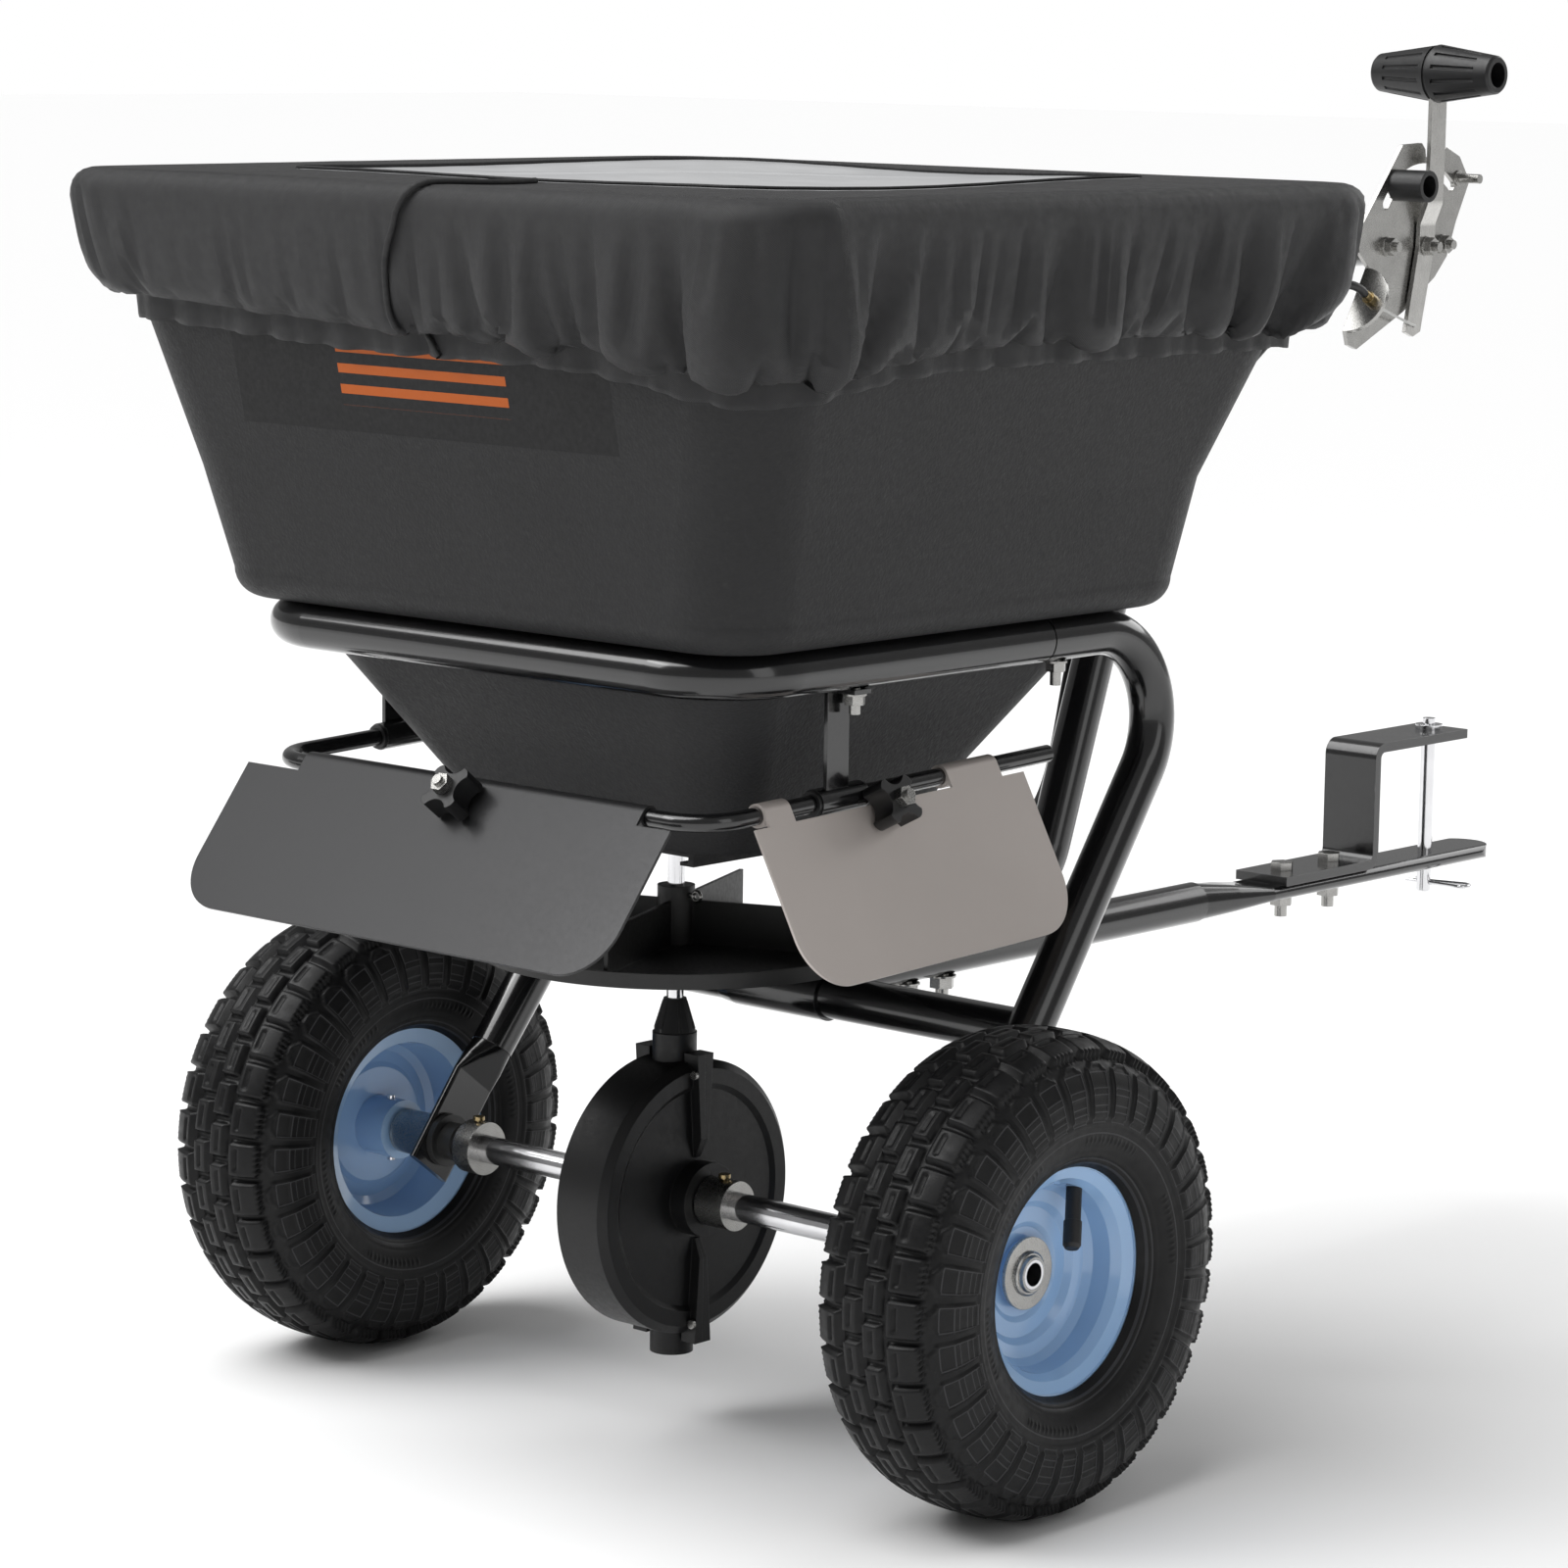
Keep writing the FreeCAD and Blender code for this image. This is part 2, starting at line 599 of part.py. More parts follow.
def make_stop_knob():
    body = cyl(STOP_KNOB_X, knob_spot.y, knob_spot.z, STOP_KNOB_R, STOP_KNOB_LENGTH, X_DIR)
    mouth = cyl(STOP_KNOB_X + 15, knob_spot.y, knob_spot.z, 7.0, 20, X_DIR)
    bore = cyl(STOP_KNOB_X - 1, knob_spot.y, knob_spot.z, 3.0, 30, X_DIR)
    return body.cut(mouth).cut(bore)


def make_stop_screw():
    """The knob's screw: its plate head rides in the gap behind the bracket."""
    x0 = PLATE_X - 2.6
    head = cyl(x0, knob_spot.y, knob_spot.z, 5.6, 2.5, X_DIR)
    shank = cyl(x0, knob_spot.y, knob_spot.z, 3.0, 2.6 + PLATE_THICK + 18, X_DIR)
    return joined([head, shank])


def cable_end(along):
    return FLAP_MIDDLE + V(CABLE_X, 0, 0) + cable_line * along


SHEATH_R = 2.8
GATE_Z = 334.0
CABLE_STOP_Y = 120.0


def make_cable_sheath():
    """The black outer cable: under the post's arm, down its far side and in to the gate."""
    way = [
        cable_end(-8.6),
        cable_end(-16.0),
        V(22, 574, 619),
        V(8, 540, 596),
        V(-8, 500, 552),
        V(-16, 452, 500),
        V(-17, 383, 440),
        V(-17, 354, 360),
        V(-16, 326, 306),
        V(-14, 280, 300),
        V(-8, 210, 318),
        V(SHAFT_X, 150, GATE_Z + 2),
        V(SHAFT_X, CABLE_STOP_Y, GATE_Z + 3),
    ]
    curve = Part.BSplineCurve()
    curve.interpolate(way)
    path = Part.Wire([curve.toShape()])
    return sweep(path, SHEATH_R)


def make_cable_ferrule():
    """The brass end fitting, held in the flap's hole."""
    sleeve = Part.makeCylinder(3.0, 15.0, cable_end(-8.0), cable_line)
    collar = Part.makeCylinder(4.2, 4.0, cable_end(-4.0), cable_line)
    wire_bore = Part.makeCylinder(0.9, 40, cable_end(-15.0), cable_line)
    return joined([sleeve, collar]).cut(wire_bore)


def make_cable_wire():
    """The bare inner wire, from the ferrule to its hook in the lever's foot."""
    start = cable_end(7.5)
    hook_x = LEVER_X + LEVER_THICK + 2.0
    near = V(hook_x, CABLE_HOLE_Y - 5, CABLE_HOLE_Z + 1)
    turn = V(hook_x, CABLE_HOLE_Y - 1.2, CABLE_HOLE_Z + 0.2)
    hook_end = V(LEVER_X - 0.5, CABLE_HOLE_Y, CABLE_HOLE_Z)
    corner = V(hook_x, CABLE_HOLE_Y, CABLE_HOLE_Z)
    first = Part.LineSegment(start, near).toShape()
    second = bent_path([near, corner, hook_end], [1.6])
    path = Part.Wire([first] + second.OrderedEdges)
    begin_direction = (near - start).normalize()
    profile = Part.Wire([Part.Circle(start, begin_direction, 0.8).toShape()])
    return path.makePipeShell([profile], True, False, 2)


# ---------------------------------------------------------------- hopper, cover and gate

SHOULDER_Z = LOOP_Z + TUBE_R
CREASE_Z = 535.0
RIM_Z = 690.0
HOPPER_WALL = 3.0
FLOOR_Z = 340.0
NECK_Z = 437.0
GATE_OPEN = 12.0
GATE_SHUT = 20.0
PORT_RING_R = 45.0


def hopper_outline(z, inset):
    """The hopper's level outline at height z: left, right, rear, front and corner radius."""
    if z <= NECK_Z:
        t = (z - FLOOR_Z) / (NECK_Z - FLOOR_Z)
        half, front, rear, r = 96 + 61 * t, 100 + 67 * t, -74 - 62 * t, 35 + 5 * t
    elif z <= SHOULDER_Z:
        half, front, rear, r = 157.0, 167.0, -136.0, 40.0
    elif z <= CREASE_Z:
        t = (z - SHOULDER_Z) / (CREASE_Z - SHOULDER_Z)
        half, front, rear, r = 196 + 17 * t, 205.5 + 5.5 * t, -172 - 14 * t, 45.0
    else:
        t = (z - CREASE_Z) / (RIM_Z - CREASE_Z)
        half, front, rear, r = 213 + 47 * t, 211 + 63 * t, -186 - 33 * t, 45.0
    return half - inset, front - inset, rear + inset, r - inset


def hopper_stage(low, high, inset, foot_z, head_z):
    """One taper with the outlines of levels low and high, standing from foot_z to head_z."""
    return lofted([hopper_wire_at(low, inset, foot_z), hopper_wire_at(high, inset, head_z)])


def hopper_wire_at(z, inset, place_z):
    half, front, rear, r = hopper_outline(z, inset)
    return rounded_loop(-half, half, rear, front, r, place_z)


def rounded_foot(inset):
    """The bowl-like lower edge of the upper box, up to where its walls run straight."""
    foot_r = 16.0
    rings = []
    steps = 4
    for k in range(steps + 1):
        a = math.radians(90.0 * k / steps)
        z = SHOULDER_Z + inset + (foot_r - inset) * (1 - math.cos(a))
        draw_in = (foot_r - inset) * (1 - math.sin(a))
        half, front, rear, r = hopper_outline(SHOULDER_Z + foot_r, inset)
        rings.append(rounded_loop(-half + draw_in, half - draw_in, rear + draw_in, front - draw_in,
                                  r - draw_in, z))
    return Part.makeLoft(rings, True, False)


def port_cutters(z):
    """Three outlet ports in an arc behind the shaft."""
    ports = []
    for angle in (-125.0, -90.0, -55.0):
        a = math.radians(angle)
        ports.append(cyl(SHAFT_X + PORT_RING_R * math.cos(a), PORT_RING_R * math.sin(a), z, 11.0, 12))
    return ports


def make_hopper():
    """Funnel, short neck between the frame tubes, flared box above them and a rolled lip."""
    w = HOPPER_WALL
    foot_top = SHOULDER_Z + 16.0
    just_above = 0.001
    outer = joined([
        hopper_stage(FLOOR_Z, NECK_Z, 0.0, FLOOR_Z, NECK_Z),
        hopper_stage(NECK_Z + just_above, SHOULDER_Z, 0.0, NECK_Z, SHOULDER_Z + 0.5),
        rounded_foot(0.0),
        hopper_stage(foot_top, CREASE_Z, 0.0, foot_top, CREASE_Z),
        hopper_stage(CREASE_Z, RIM_Z, 0.0, CREASE_Z, RIM_Z),
    ])
    lip = Part.Face(hopper_wire_at(RIM_Z, -7.0, RIM_Z - 6)).extrude(V(0, 0, 6))
    outer = joined([outer, lip])
    inner = joined([
        hopper_stage(FLOOR_Z + w, NECK_Z, w, FLOOR_Z + w, NECK_Z),
        hopper_stage(NECK_Z + just_above, SHOULDER_Z, w, NECK_Z, SHOULDER_Z + w),
        rounded_foot(w),
        hopper_stage(foot_top, CREASE_Z, w, foot_top, CREASE_Z),
        hopper_stage(CREASE_Z, RIM_Z, w, CREASE_Z, RIM_Z + 0.01),
    ])
    hopper = outer.cut(inner)
    hub_boss = cyl(SHAFT_X, 0, FLOOR_Z + w, 11.0, 12)
    rails = []
    for side in (-1, 1):
        x_in = SHAFT_X + side * 72.0
        x_out = SHAFT_X + side * 76.0
        x_lip = SHAFT_X + side * 66.0
        rails.append(box(min(x_in, x_out), max(x_in, x_out), -68, 68, FLOOR_Z - 6, FLOOR_Z))
        rails.append(box(min(x_lip, x_out), max(x_lip, x_out), -68, 68, FLOOR_Z - 8, FLOOR_Z - 6))
    hopper = joined([hopper, hub_boss] + rails)
    cuts = [cyl(SHAFT_X, 0, FLOOR_Z - 10, SHAFT_R + RUN_FIT, 40)]
    cuts += port_cutters(FLOOR_Z - 4)
    cuts += loop_bolt_holes(BOLT_HOLE_R)
    return hopper.cut(group(cuts))


def make_gate_plate():
    """The shutter under the hopper's floor; its own ports line up when it is drawn open."""
    top = FLOOR_Z - 1.5
    plate = box(SHAFT_X - 71, SHAFT_X + 71, -66, 66, top - 2, top)
    tab = box(SHAFT_X - 9, SHAFT_X + 9, 66, 92, top - 2, top)
    gate = joined([plate, tab])
    slot_half = 6.5
    slot = joined([
        cyl(SHAFT_X, -GATE_OPEN, top - 5, slot_half, 10),
        cyl(SHAFT_X, GATE_SHUT, top - 5, slot_half, 10),
        box(SHAFT_X - slot_half, SHAFT_X + slot_half, -GATE_OPEN, GATE_SHUT, top - 5, top + 5),
    ])
    cuts = port_cutters(top - 5) + [slot, cyl(SHAFT_X, 84, top - 5, 3.0, 10)]
    return gate.cut(group(cuts))


def make_hopper_bolts():
    seat = SHOULDER_Z + HOPPER_WALL
    bolts = []
    for sign in (-1, 1):
        for y in HOPPER_BOLT_Y:
            bolts.append(bolt(sign * LOOP_HALF, y, seat, BOLT_R, 42, Z_DIR * -1))
    return group(bolts)


HEM_Z = 608.0
COVER_GAP = 2.0
COVER_THICK = 2.5
COVER_TOP_Z = RIM_Z + 3.5


def cover_wire(z, grow):
    """The cover's inner outline: over the lip at the top and drawn in at the hem."""
    lip_reach = 9.0
    if z >= RIM_Z - 12:
        half, front, rear, r = hopper_outline(RIM_Z, -lip_reach)
    else:
        half, front, rear, r = hopper_outline(z, -COVER_GAP)
    return rounded_loop(-half - grow, half + grow, rear - grow, front + grow, r + grow, z)


def make_hopper_cover():
    """A fitted fabric cover: flat top, skirt over the lip, gathered hem below it."""
    levels = [HEM_Z, RIM_Z - 40, RIM_Z - 12, RIM_Z + 1.0]
    inner = []
    outer = []
    for low, high in zip(levels[:-1], levels[1:]):
        inner.append(lofted([cover_wire(low, 0), cover_wire(high, 0)]))
        outer.append(lofted([cover_wire(low, COVER_THICK), cover_wire(high, COVER_THICK)]))
    top = Part.Face(cover_wire(RIM_Z + 1.0, COVER_THICK)).extrude(V(0, 0, COVER_TOP_Z - RIM_Z - 1.0))
    return joined(outer + [top]).cut(joined(inner))


# ---------------------------------------------------------------- deflectors and their rod

ROD_R = 4.75
ROD_HALF = 163.0
ROD_REAR_Y = -157.0
ROD_Z = 375.0
ROD_FRONT_Y = 118.0
ROD_RISE = 0.035
ROD_BEND_R = 26.0
HANGER_Y = -57.0
HANGER_SLEEVE_HALF = 18.0
HANGER_SLEEVE_R = 7.6
ROD_BUSH_R = 6.0


def side_rod_z(y):
    return ROD_Z + ROD_RISE * (y - ROD_REAR_Y)


def make_deflector_rod():
    corners = [
        V(ROD_HALF, ROD_FRONT_Y, side_rod_z(ROD_FRONT_Y)),
        V(ROD_HALF, ROD_REAR_Y, ROD_Z),
        V(-ROD_HALF, ROD_REAR_Y, ROD_Z),
        V(-ROD_HALF, ROD_FRONT_Y, side_rod_z(ROD_FRONT_Y)),
    ]
    return sweep(bent_path(corners, [ROD_BEND_R, ROD_BEND_R]), ROD_R)


side_rod_line = V(0, 1, ROD_RISE).normalize()


def along_side_rod(sign, y, r, length):
    start = V(sign * ROD_HALF, y, side_rod_z(y))
    return Part.makeCylinder(r, length, start, side_rod_line)


def make_hanger(sign):
    """A flat strap hung from the frame bolt, ending in the sleeve that grips the rod."""
    strap_x0 = sign * (LOOP_HALF + 6.0)
    strap_x1 = sign * (LOOP_HALF - 7.5)
    low_x0 = min(sign * (ROD_HALF + 1.5), sign * (ROD_HALF + 4.0))
    low_x1 = max(sign * (ROD_HALF + 1.5), sign * (ROD_HALF + 4.0))
    foot_z = LOOP_Z - TUBE_R - 2.5
    tab = box(min(strap_x0, strap_x1), max(strap_x0, strap_x1), HANGER_Y - 6, HANGER_Y + 7,
              foot_z, foot_z + 2.5)
    drop = box(low_x0, low_x1, HANGER_Y - 12, HANGER_Y + 5, side_rod_z(HANGER_Y), foot_z + 2.5)
    start_y = HANGER_Y - HANGER_SLEEVE_HALF
    sleeve = along_side_rod(sign, start_y, HANGER_SLEEVE_R, 2 * HANGER_SLEEVE_HALF)
    bore = along_side_rod(sign, start_y - 1, ROD_BUSH_R, 2 * HANGER_SLEEVE_HALF + 2)
    hanger = joined([tab, drop, sleeve]).cut(bore)
    return hanger.cut(cyl(sign * LOOP_HALF, HOPPER_BOLT_Y[0], foot_z - 5, BOLT_HOLE_R, 12))


def make_rod_bushes():
    """Plastic bushes pressed into both ends of each hanger sleeve."""
    bushes = []
    for sign in (-1, 1):
        for rear in (True, False):
            if rear:
                mouth = HANGER_Y - HANGER_SLEEVE_HALF
                inside = mouth
                flange = mouth - 2.0
            else:
                mouth = HANGER_Y + HANGER_SLEEVE_HALF * (2 / math.sqrt(1 + ROD_RISE ** 2) - 1)
                inside = mouth - 9.0
                flange = mouth
            body = along_side_rod(sign, inside, ROD_BUSH_R, 9.0)
            collar = along_side_rod(sign, flange, HANGER_SLEEVE_R - 0.8, 2.0)
            bore = along_side_rod(sign, HANGER_Y - 40, ROD_R + RUN_FIT, 80)
            bushes.append(joined([body, collar]).cut(bore))
    return group(bushes)


SHEET = 1.6
CURL_R = ROD_R + RUN_FIT
DEFLECTOR_LENGTH = 98.0


def deflector_blank(width, corner_r, tabs, knob_at):
    """A deflector seen in its own frame: hinge line along u at the origin, sheet hanging in -w.

    u is the first axis, v the outward side (second axis) and w is up (third axis).
    """
    curl = ring(0, 0, 0, CURL_R + SHEET, CURL_R, width, X_DIR)
    sheet_v = CURL_R
    hang = box(0, width, sheet_v, sheet_v + SHEET, -DEFLECTOR_LENGTH, 0)
    shape = joined([curl, hang])
    gaps = []
    last = 0.0
    for begin, end in tabs:
        if begin > last:
            gaps.append((last, begin))
        last = end
    if last < width:
        gaps.append((last, width))
    for begin, end in gaps:
        shape = shape.cut(box(begin, end, -20, 20, -ROD_R - 3.5, 20))
    corner_cuts = []
    for u, sign in ((0.0, 1), (width, -1)):
        square = box(min(u, u + sign * corner_r), max(u, u + sign * corner_r), -20, 20,
                     -DEFLECTOR_LENGTH, -DEFLECTOR_LENGTH + corner_r)
        round_part = cyl(u + sign * corner_r, -20, -DEFLECTOR_LENGTH + corner_r, corner_r, 40, Y_DIR)
        corner_cuts.append(square.cut(round_part))
    shape = shape.cut(group(corner_cuts))
    return shape.cut(cyl(knob_at, -1, CLAMP_W, 3.0 + RUN_FIT, 30, Y_DIR))


CLAMP_W = -11.5
KNOB_LENGTH = 14.0
KNOB_STAND_OFF = 2.2


def clamp_screw(knob_at):
    """Screw with a flat head behind the sheet and the nut on the knob's outer face."""
    back = CURL_R - 2.0
    head = cyl(knob_at, back, CLAMP_W, 5.0, 2.0, Y_DIR)
    front = CURL_R + SHEET + KNOB_STAND_OFF + KNOB_LENGTH
    shank = cyl(knob_at, back, CLAMP_W, 3.0, front + 7.5 - back, Y_DIR)
    tip_nut = hexagon(knob_at, front + 0.1, CLAMP_W, 10.0, 5.0, Y_DIR)
    return joined([head, shank, tip_nut])


def lobed_knob(knob_at):
    """A star knob with rounded points, turning on the clamp screw."""
    begin = CURL_R + SHEET + KNOB_STAND_OFF
    points = 4
    lobe_r = 5.2
    reach = 9.8
    lobes = [cyl(knob_at, begin, CLAMP_W, reach, KNOB_LENGTH, Y_DIR)]
    scoops = []
    for k in range(points):
        a = math.radians(90 * k + 45)
        lobes.append(cyl(knob_at + reach * math.cos(a), begin, CLAMP_W + reach * math.sin(a),
                         lobe_r, KNOB_LENGTH, Y_DIR))
        b = math.radians(90 * k)
        scoops.append(cyl(knob_at + 16.5 * math.cos(b), begin - 1, CLAMP_W + 16.5 * math.sin(b),
                          8.5, KNOB_LENGTH + 2, Y_DIR))
    star = joined(lobes).cut(group(scoops))
    return star.cut(cyl(knob_at, begin - 1, CLAMP_W, 3.0 + RUN_FIT, KNOB_LENGTH + 2, Y_DIR))


def place_rear(shape, swing, left_x):
    """Hang a deflector's frame on the rear rod: u along +X, v pointing backwards."""
    placed = shape.copy()
    placed.rotate(V(0, 0, 0), Z_DIR, 180)
    placed.translate(V(left_x, 0, 0))
    placed.rotate(V(0, 0, 0), X_DIR, -swing)
    placed.translate(V(0, ROD_REAR_Y, ROD_Z))
    return placed


def place_side(shape, swing, front_y):
    """Hang a deflector's frame on the right rod: u along -Y, v pointing to the right."""
    placed = shape.copy()
    placed.rotate(V(0, 0, 0), Z_DIR, -90)
    placed.rotate(V(0, 0, 0), Y_DIR, -swing)
    placed.rotate(V(0, 0, 0), X_DIR, math.degrees(math.atan(ROD_RISE)))
    placed.translate(V(ROD_HALF, front_y, side_rod_z(front_y)))
    return placed


REAR_WIDTH = 318.0
REAR_SWING = 38.0
REAR_RIGHT_X = 148.0
REAR_KNOB_AT = REAR_RIGHT_X + 1.0
SIDE_WIDTH = 216.0
SIDE_SWING = 27.0
SIDE_FRONT_Y = 86.0
SIDE_KNOB_AT = 120.0
REAR_TABS = [(24.0, REAR_WIDTH - 40.0)]
SIDE_TABS = [(18.0, 60.0), (185.0, 205.0)]


def make_deflector_rear():
    blank = deflector_blank(REAR_WIDTH, 30.0, REAR_TABS, REAR_KNOB_AT)
    return place_rear(blank, REAR_SWING, REAR_RIGHT_X)


def make_deflector_side():
    blank = deflector_blank(SIDE_WIDTH, 30.0, SIDE_TABS, SIDE_KNOB_AT)
    return place_side(blank, SIDE_SWING, SIDE_FRONT_Y)


# ---------------------------------------------------------------- axle, wheels and drive

HUB_R = 17.5
HUB_BORE_R = 12.0
HUB_IN = -26.0
HUB_OUT = 2.0
LEFT = -1
RIGHT = 1


def wheel_rim(sign, hub_bore_r):
    """A stamped rim: two rolled lips, a stepped dish on the outside and a hub tube."""
    seat = 54.0
    outline = [
        (HUB_OUT, hub_bore_r), (HUB_OUT, HUB_R), (-0.5, HUB_R), (-0.5, 24.0), (1.2, 27.0),
        (1.2, 35.0), (4.5, 38.5), (6.0, 45.0), (10.0, 48.5), (20.0, 50.5), (25.0, 54.0),
        (28.0, 60.3), (29.0, 60.3), (29.0, 61.8), (27.0, 61.8), (24.0, seat),
        (12.0, seat), (9.0, 51.5), (-9.0, 51.5), (-12.0, seat), (-24.0, seat), (-27.0, 61.8),
        (-29.0, 61.8), (-28.0, 59.0), (-25.5, 52.0), (-12.0, 50.0), (-2.5, 48.5),
        (0.5, 44.0), (-1.5, 37.0), (-3.5, 34.0), (-3.5, HUB_R), (HUB_IN, HUB_R),
        (HUB_IN, hub_bore_r),
    ]
    centre = V(sign * TRACK_HALF, 0, AXLE_Z)
    return revolved(outline, centre, X_DIR * sign)


VALVE_ANGLE = 62.0


def valve_axis(sign):
    a = math.radians(VALVE_ANGLE)
    outward = V(0, math.cos(a), math.sin(a))
    lean = V(sign * 0.35, 0, 0)
    base = V(sign * (TRACK_HALF + 15.5), 0, AXLE_Z) + outward * 50.9
    direction = (outward * -1 + lean).normalize()
    return base, direction


def wheel_rim_with_valve_hole(sign, hub_bore_r):
    base, direction = valve_axis(sign)
    hole = Part.makeCylinder(4.3, 12, base - direction * 6, direction)
    return wheel_rim(sign, hub_bore_r).cut(hole)


def make_valve(sign):
    """A rubber snap-in valve with its ribbed cap."""
    base, direction = valve_axis(sign)
    stem = Part.makeCylinder(4.25, 22.5, base - direction * 1.7, direction)
    cap = Part.makeCylinder(4.9, 13, base + direction * 20, direction)
    tip = Part.makeCone(4.9, 3.6, 2.0, base + direction * 33, direction)
    return joined([stem, cap, tip])


def make_tyre(sign):
    """A low tyre: bead, bulging sidewall, lugged shoulder and tread; open towards the rim."""
    half = TYRE_HALF
    outer = [
        (27.0, 62.2), (32.0, 64.0), (37.0, 70.0), (40.8, 80.0), (half, 92.0), (42.0, 104.0),
        (39.0, 115.0), (33.0, 123.5), (24.0, 128.2), (12.0, 129.7),
    ]
    inner = [
        (15.0, 121.5), (27.0, 118.0), (34.0, 108.0), (36.5, 92.0), (34.5, 78.0), (27.5, 68.0),
        (13.0, 60.0), (13.0, 54.3), (23.9, 54.3),
    ]
    outline = order_ring(outer, inner)
    centre = V(sign * TRACK_HALF, 0, AXLE_Z)
    body = revolved(outline, centre, X_DIR)
    notches = []
    count = 34
    for k in range(count):
        a = 2 * math.pi * k / count
        for side in (-1, 1):
            phase = a + (math.pi / count if side > 0 else 0.0)
            block = box(side * 36 - 12, side * 36 + 12, -2.0, 2.0, 122.0, 140.0)
            block.rotate(V(0, 0, 0), X_DIR, math.degrees(phase))
            block.translate(centre)
            notches.append(block)
    return body.cut(group(notches))


def order_ring(outer, inner):
    """One closed outline: up the right side, over the crown, down the left, back inside."""
    loop = list(outer)
    loop.append((0.0, TYRE_R))
    loop += [(-x, r) for x, r in reversed(outer)]
    loop += [(-x, r) for x, r in reversed(inner)]
    loop.append((0.0, 122.5))
    loop += list(inner)
    return loop


AXLE_HALF = TRACK_HALF + 9.0
AXLE_BORE_R = 6.2
FOOT_FACE = FOOT.x + FOOT_THICK / 2
BUSH_FLANGE_R = 15.5


def make_axle():
    bar = cyl(-AXLE_HALF, 0, AXLE_Z, AXLE_R, 2 * AXLE_HALF, X_DIR)
    cuts = []
    for sign in (-1, 1):
        start = sign * AXLE_HALF
        cuts.append(cyl(start, 0, AXLE_Z, AXLE_BORE_R, 30, X_DIR * -sign))
    cuts.append(cyl(-(TRACK_HALF - 16), 0, AXLE_Z - 20, 2.5, 40))
    return bar.cut(group(cuts))


def make_axle_bushes():
    """Flanged bushes in the feet: the axle turns in them."""
    bushes = []
    for sign in (-1, 1):
        inner_face = sign * (FOOT.x - FOOT_THICK / 2)
        body = cyl(inner_face - sign * 14, 0, AXLE_Z, BUSH_R, 14 + FOOT_THICK, X_DIR * sign)
        flange = cyl(inner_face - sign * 4, 0, AXLE_Z, BUSH_FLANGE_R, 4, X_DIR * sign)
        bore = cyl(inner_face - sign * 30, 0, AXLE_Z, AXLE_R + RUN_FIT, 60, X_DIR * sign)
        bushes.append(joined([body, flange]).cut(bore))
    return group(bushes)


# collars on the axle: centre X, outer radius, half width
COLLARS = ((-158.0, 15.5, 6.5), (158.0, 15.5, 6.5), (35.5, 14.0, 10.0))


def make_set_collars():
    collars = []
    for x, r, half in COLLARS:
        body = ring(x - half, 0, AXLE_Z, r, AXLE_R, 2 * half, X_DIR)
        collars.append(body.cut(cyl(x, 0, AXLE_Z, 2.0, r + 5)))
    return group(collars)


def make_collar_screws():
    screws = []
    for x, r, half in COLLARS:
        stem = cyl(x, 0, AXLE_Z + AXLE_R + 0.2, 2.0, r + 2.0 - AXLE_R)
        head = cyl(x, 0, AXLE_Z + r + 0.6, 3.4, 2.2)
        screws.append(joined([stem, head]))
    return group(screws)


def make_hub_washers():
    """Spacers between hub and foot, large end washers, and the rings that retain them."""
    pieces = []
    for sign in (-1, 1):
        start = sign * (TRACK_HALF + HUB_OUT + 3.2)
        outline = [(0.0, AXLE_R), (0.0, 12.0), (1.2, 12.0), (1.8, 11.0), (1.8, 10.0),
                   (3.8, 9.4), (3.8, AXLE_R)]
        pieces.append(revolved(outline, V(start, 0, AXLE_Z), X_DIR * sign))
    for sign in (-1, 1):
        outer_face = sign * (TRACK_HALF + HUB_OUT)
        turn = X_DIR * sign
        start = outer_face + sign * 1.2
        pieces.append(ring(start, 0, AXLE_Z, 19.5, AXLE_R, 2.0, turn))
        spacer_start = sign * (FOOT_FACE + 0.3)
        spacer_length = TRACK_HALF + HUB_IN - FOOT_FACE - 2.6
        pieces.append(ring(spacer_start, 0, AXLE_Z, 13.0, AXLE_R, spacer_length, turn))
    return group(pieces)


def make_wheel_pin():
    """The pin that locks the left hub to the axle."""
    return cyl(-(TRACK_HALF - 16), 0, AXLE_Z - HUB_R - 2, 2.5, 2 * HUB_R + 4)


def make_hub_bushes():
    """Flanged bushes in both ends of the free wheel's hub; they run on the axle."""
    bore_r = AXLE_R + RUN_FIT
    flange_r = 15.0
    inner_start = TRACK_HALF + HUB_IN
    outer_start = TRACK_HALF + HUB_OUT
    inner = joined([
        ring(inner_start, 0, AXLE_Z, HUB_BORE_R, bore_r, 8, X_DIR),
        ring(inner_start - 1.5, 0, AXLE_Z, flange_r, bore_r, 1.5, X_DIR),
    ])
    outer = joined([
        ring(outer_start - 8, 0, AXLE_Z, HUB_BORE_R, bore_r, 8, X_DIR),
        ring(outer_start, 0, AXLE_Z, flange_r, bore_r, 0.9, X_DIR),
    ])
    return group([inner, outer])


# ---------------------------------------------------------------- gear case and gears

CASE_R = 77.3
CASE_HALF = 19.3
CASE_WALL = 2.5
CROWN_TEETH = 60
PINION_TEETH = 10
PINION_PITCH_R = 7.5
CROWN_PITCH_R = PINION_PITCH_R * CROWN_TEETH / PINION_TEETH
MESH_Z = AXLE_Z + CROWN_PITCH_R
CROWN_TOOTH_TOP_X = SHAFT_X - 6.6
CROWN_FACE_X = SHAFT_X - 9.4
CROWN_BACK_X = SHAFT_X - 13.0
CROWN_HUB_X = CROWN_BACK_X + 4.0 + 14.0
BOSS_R = 12.5


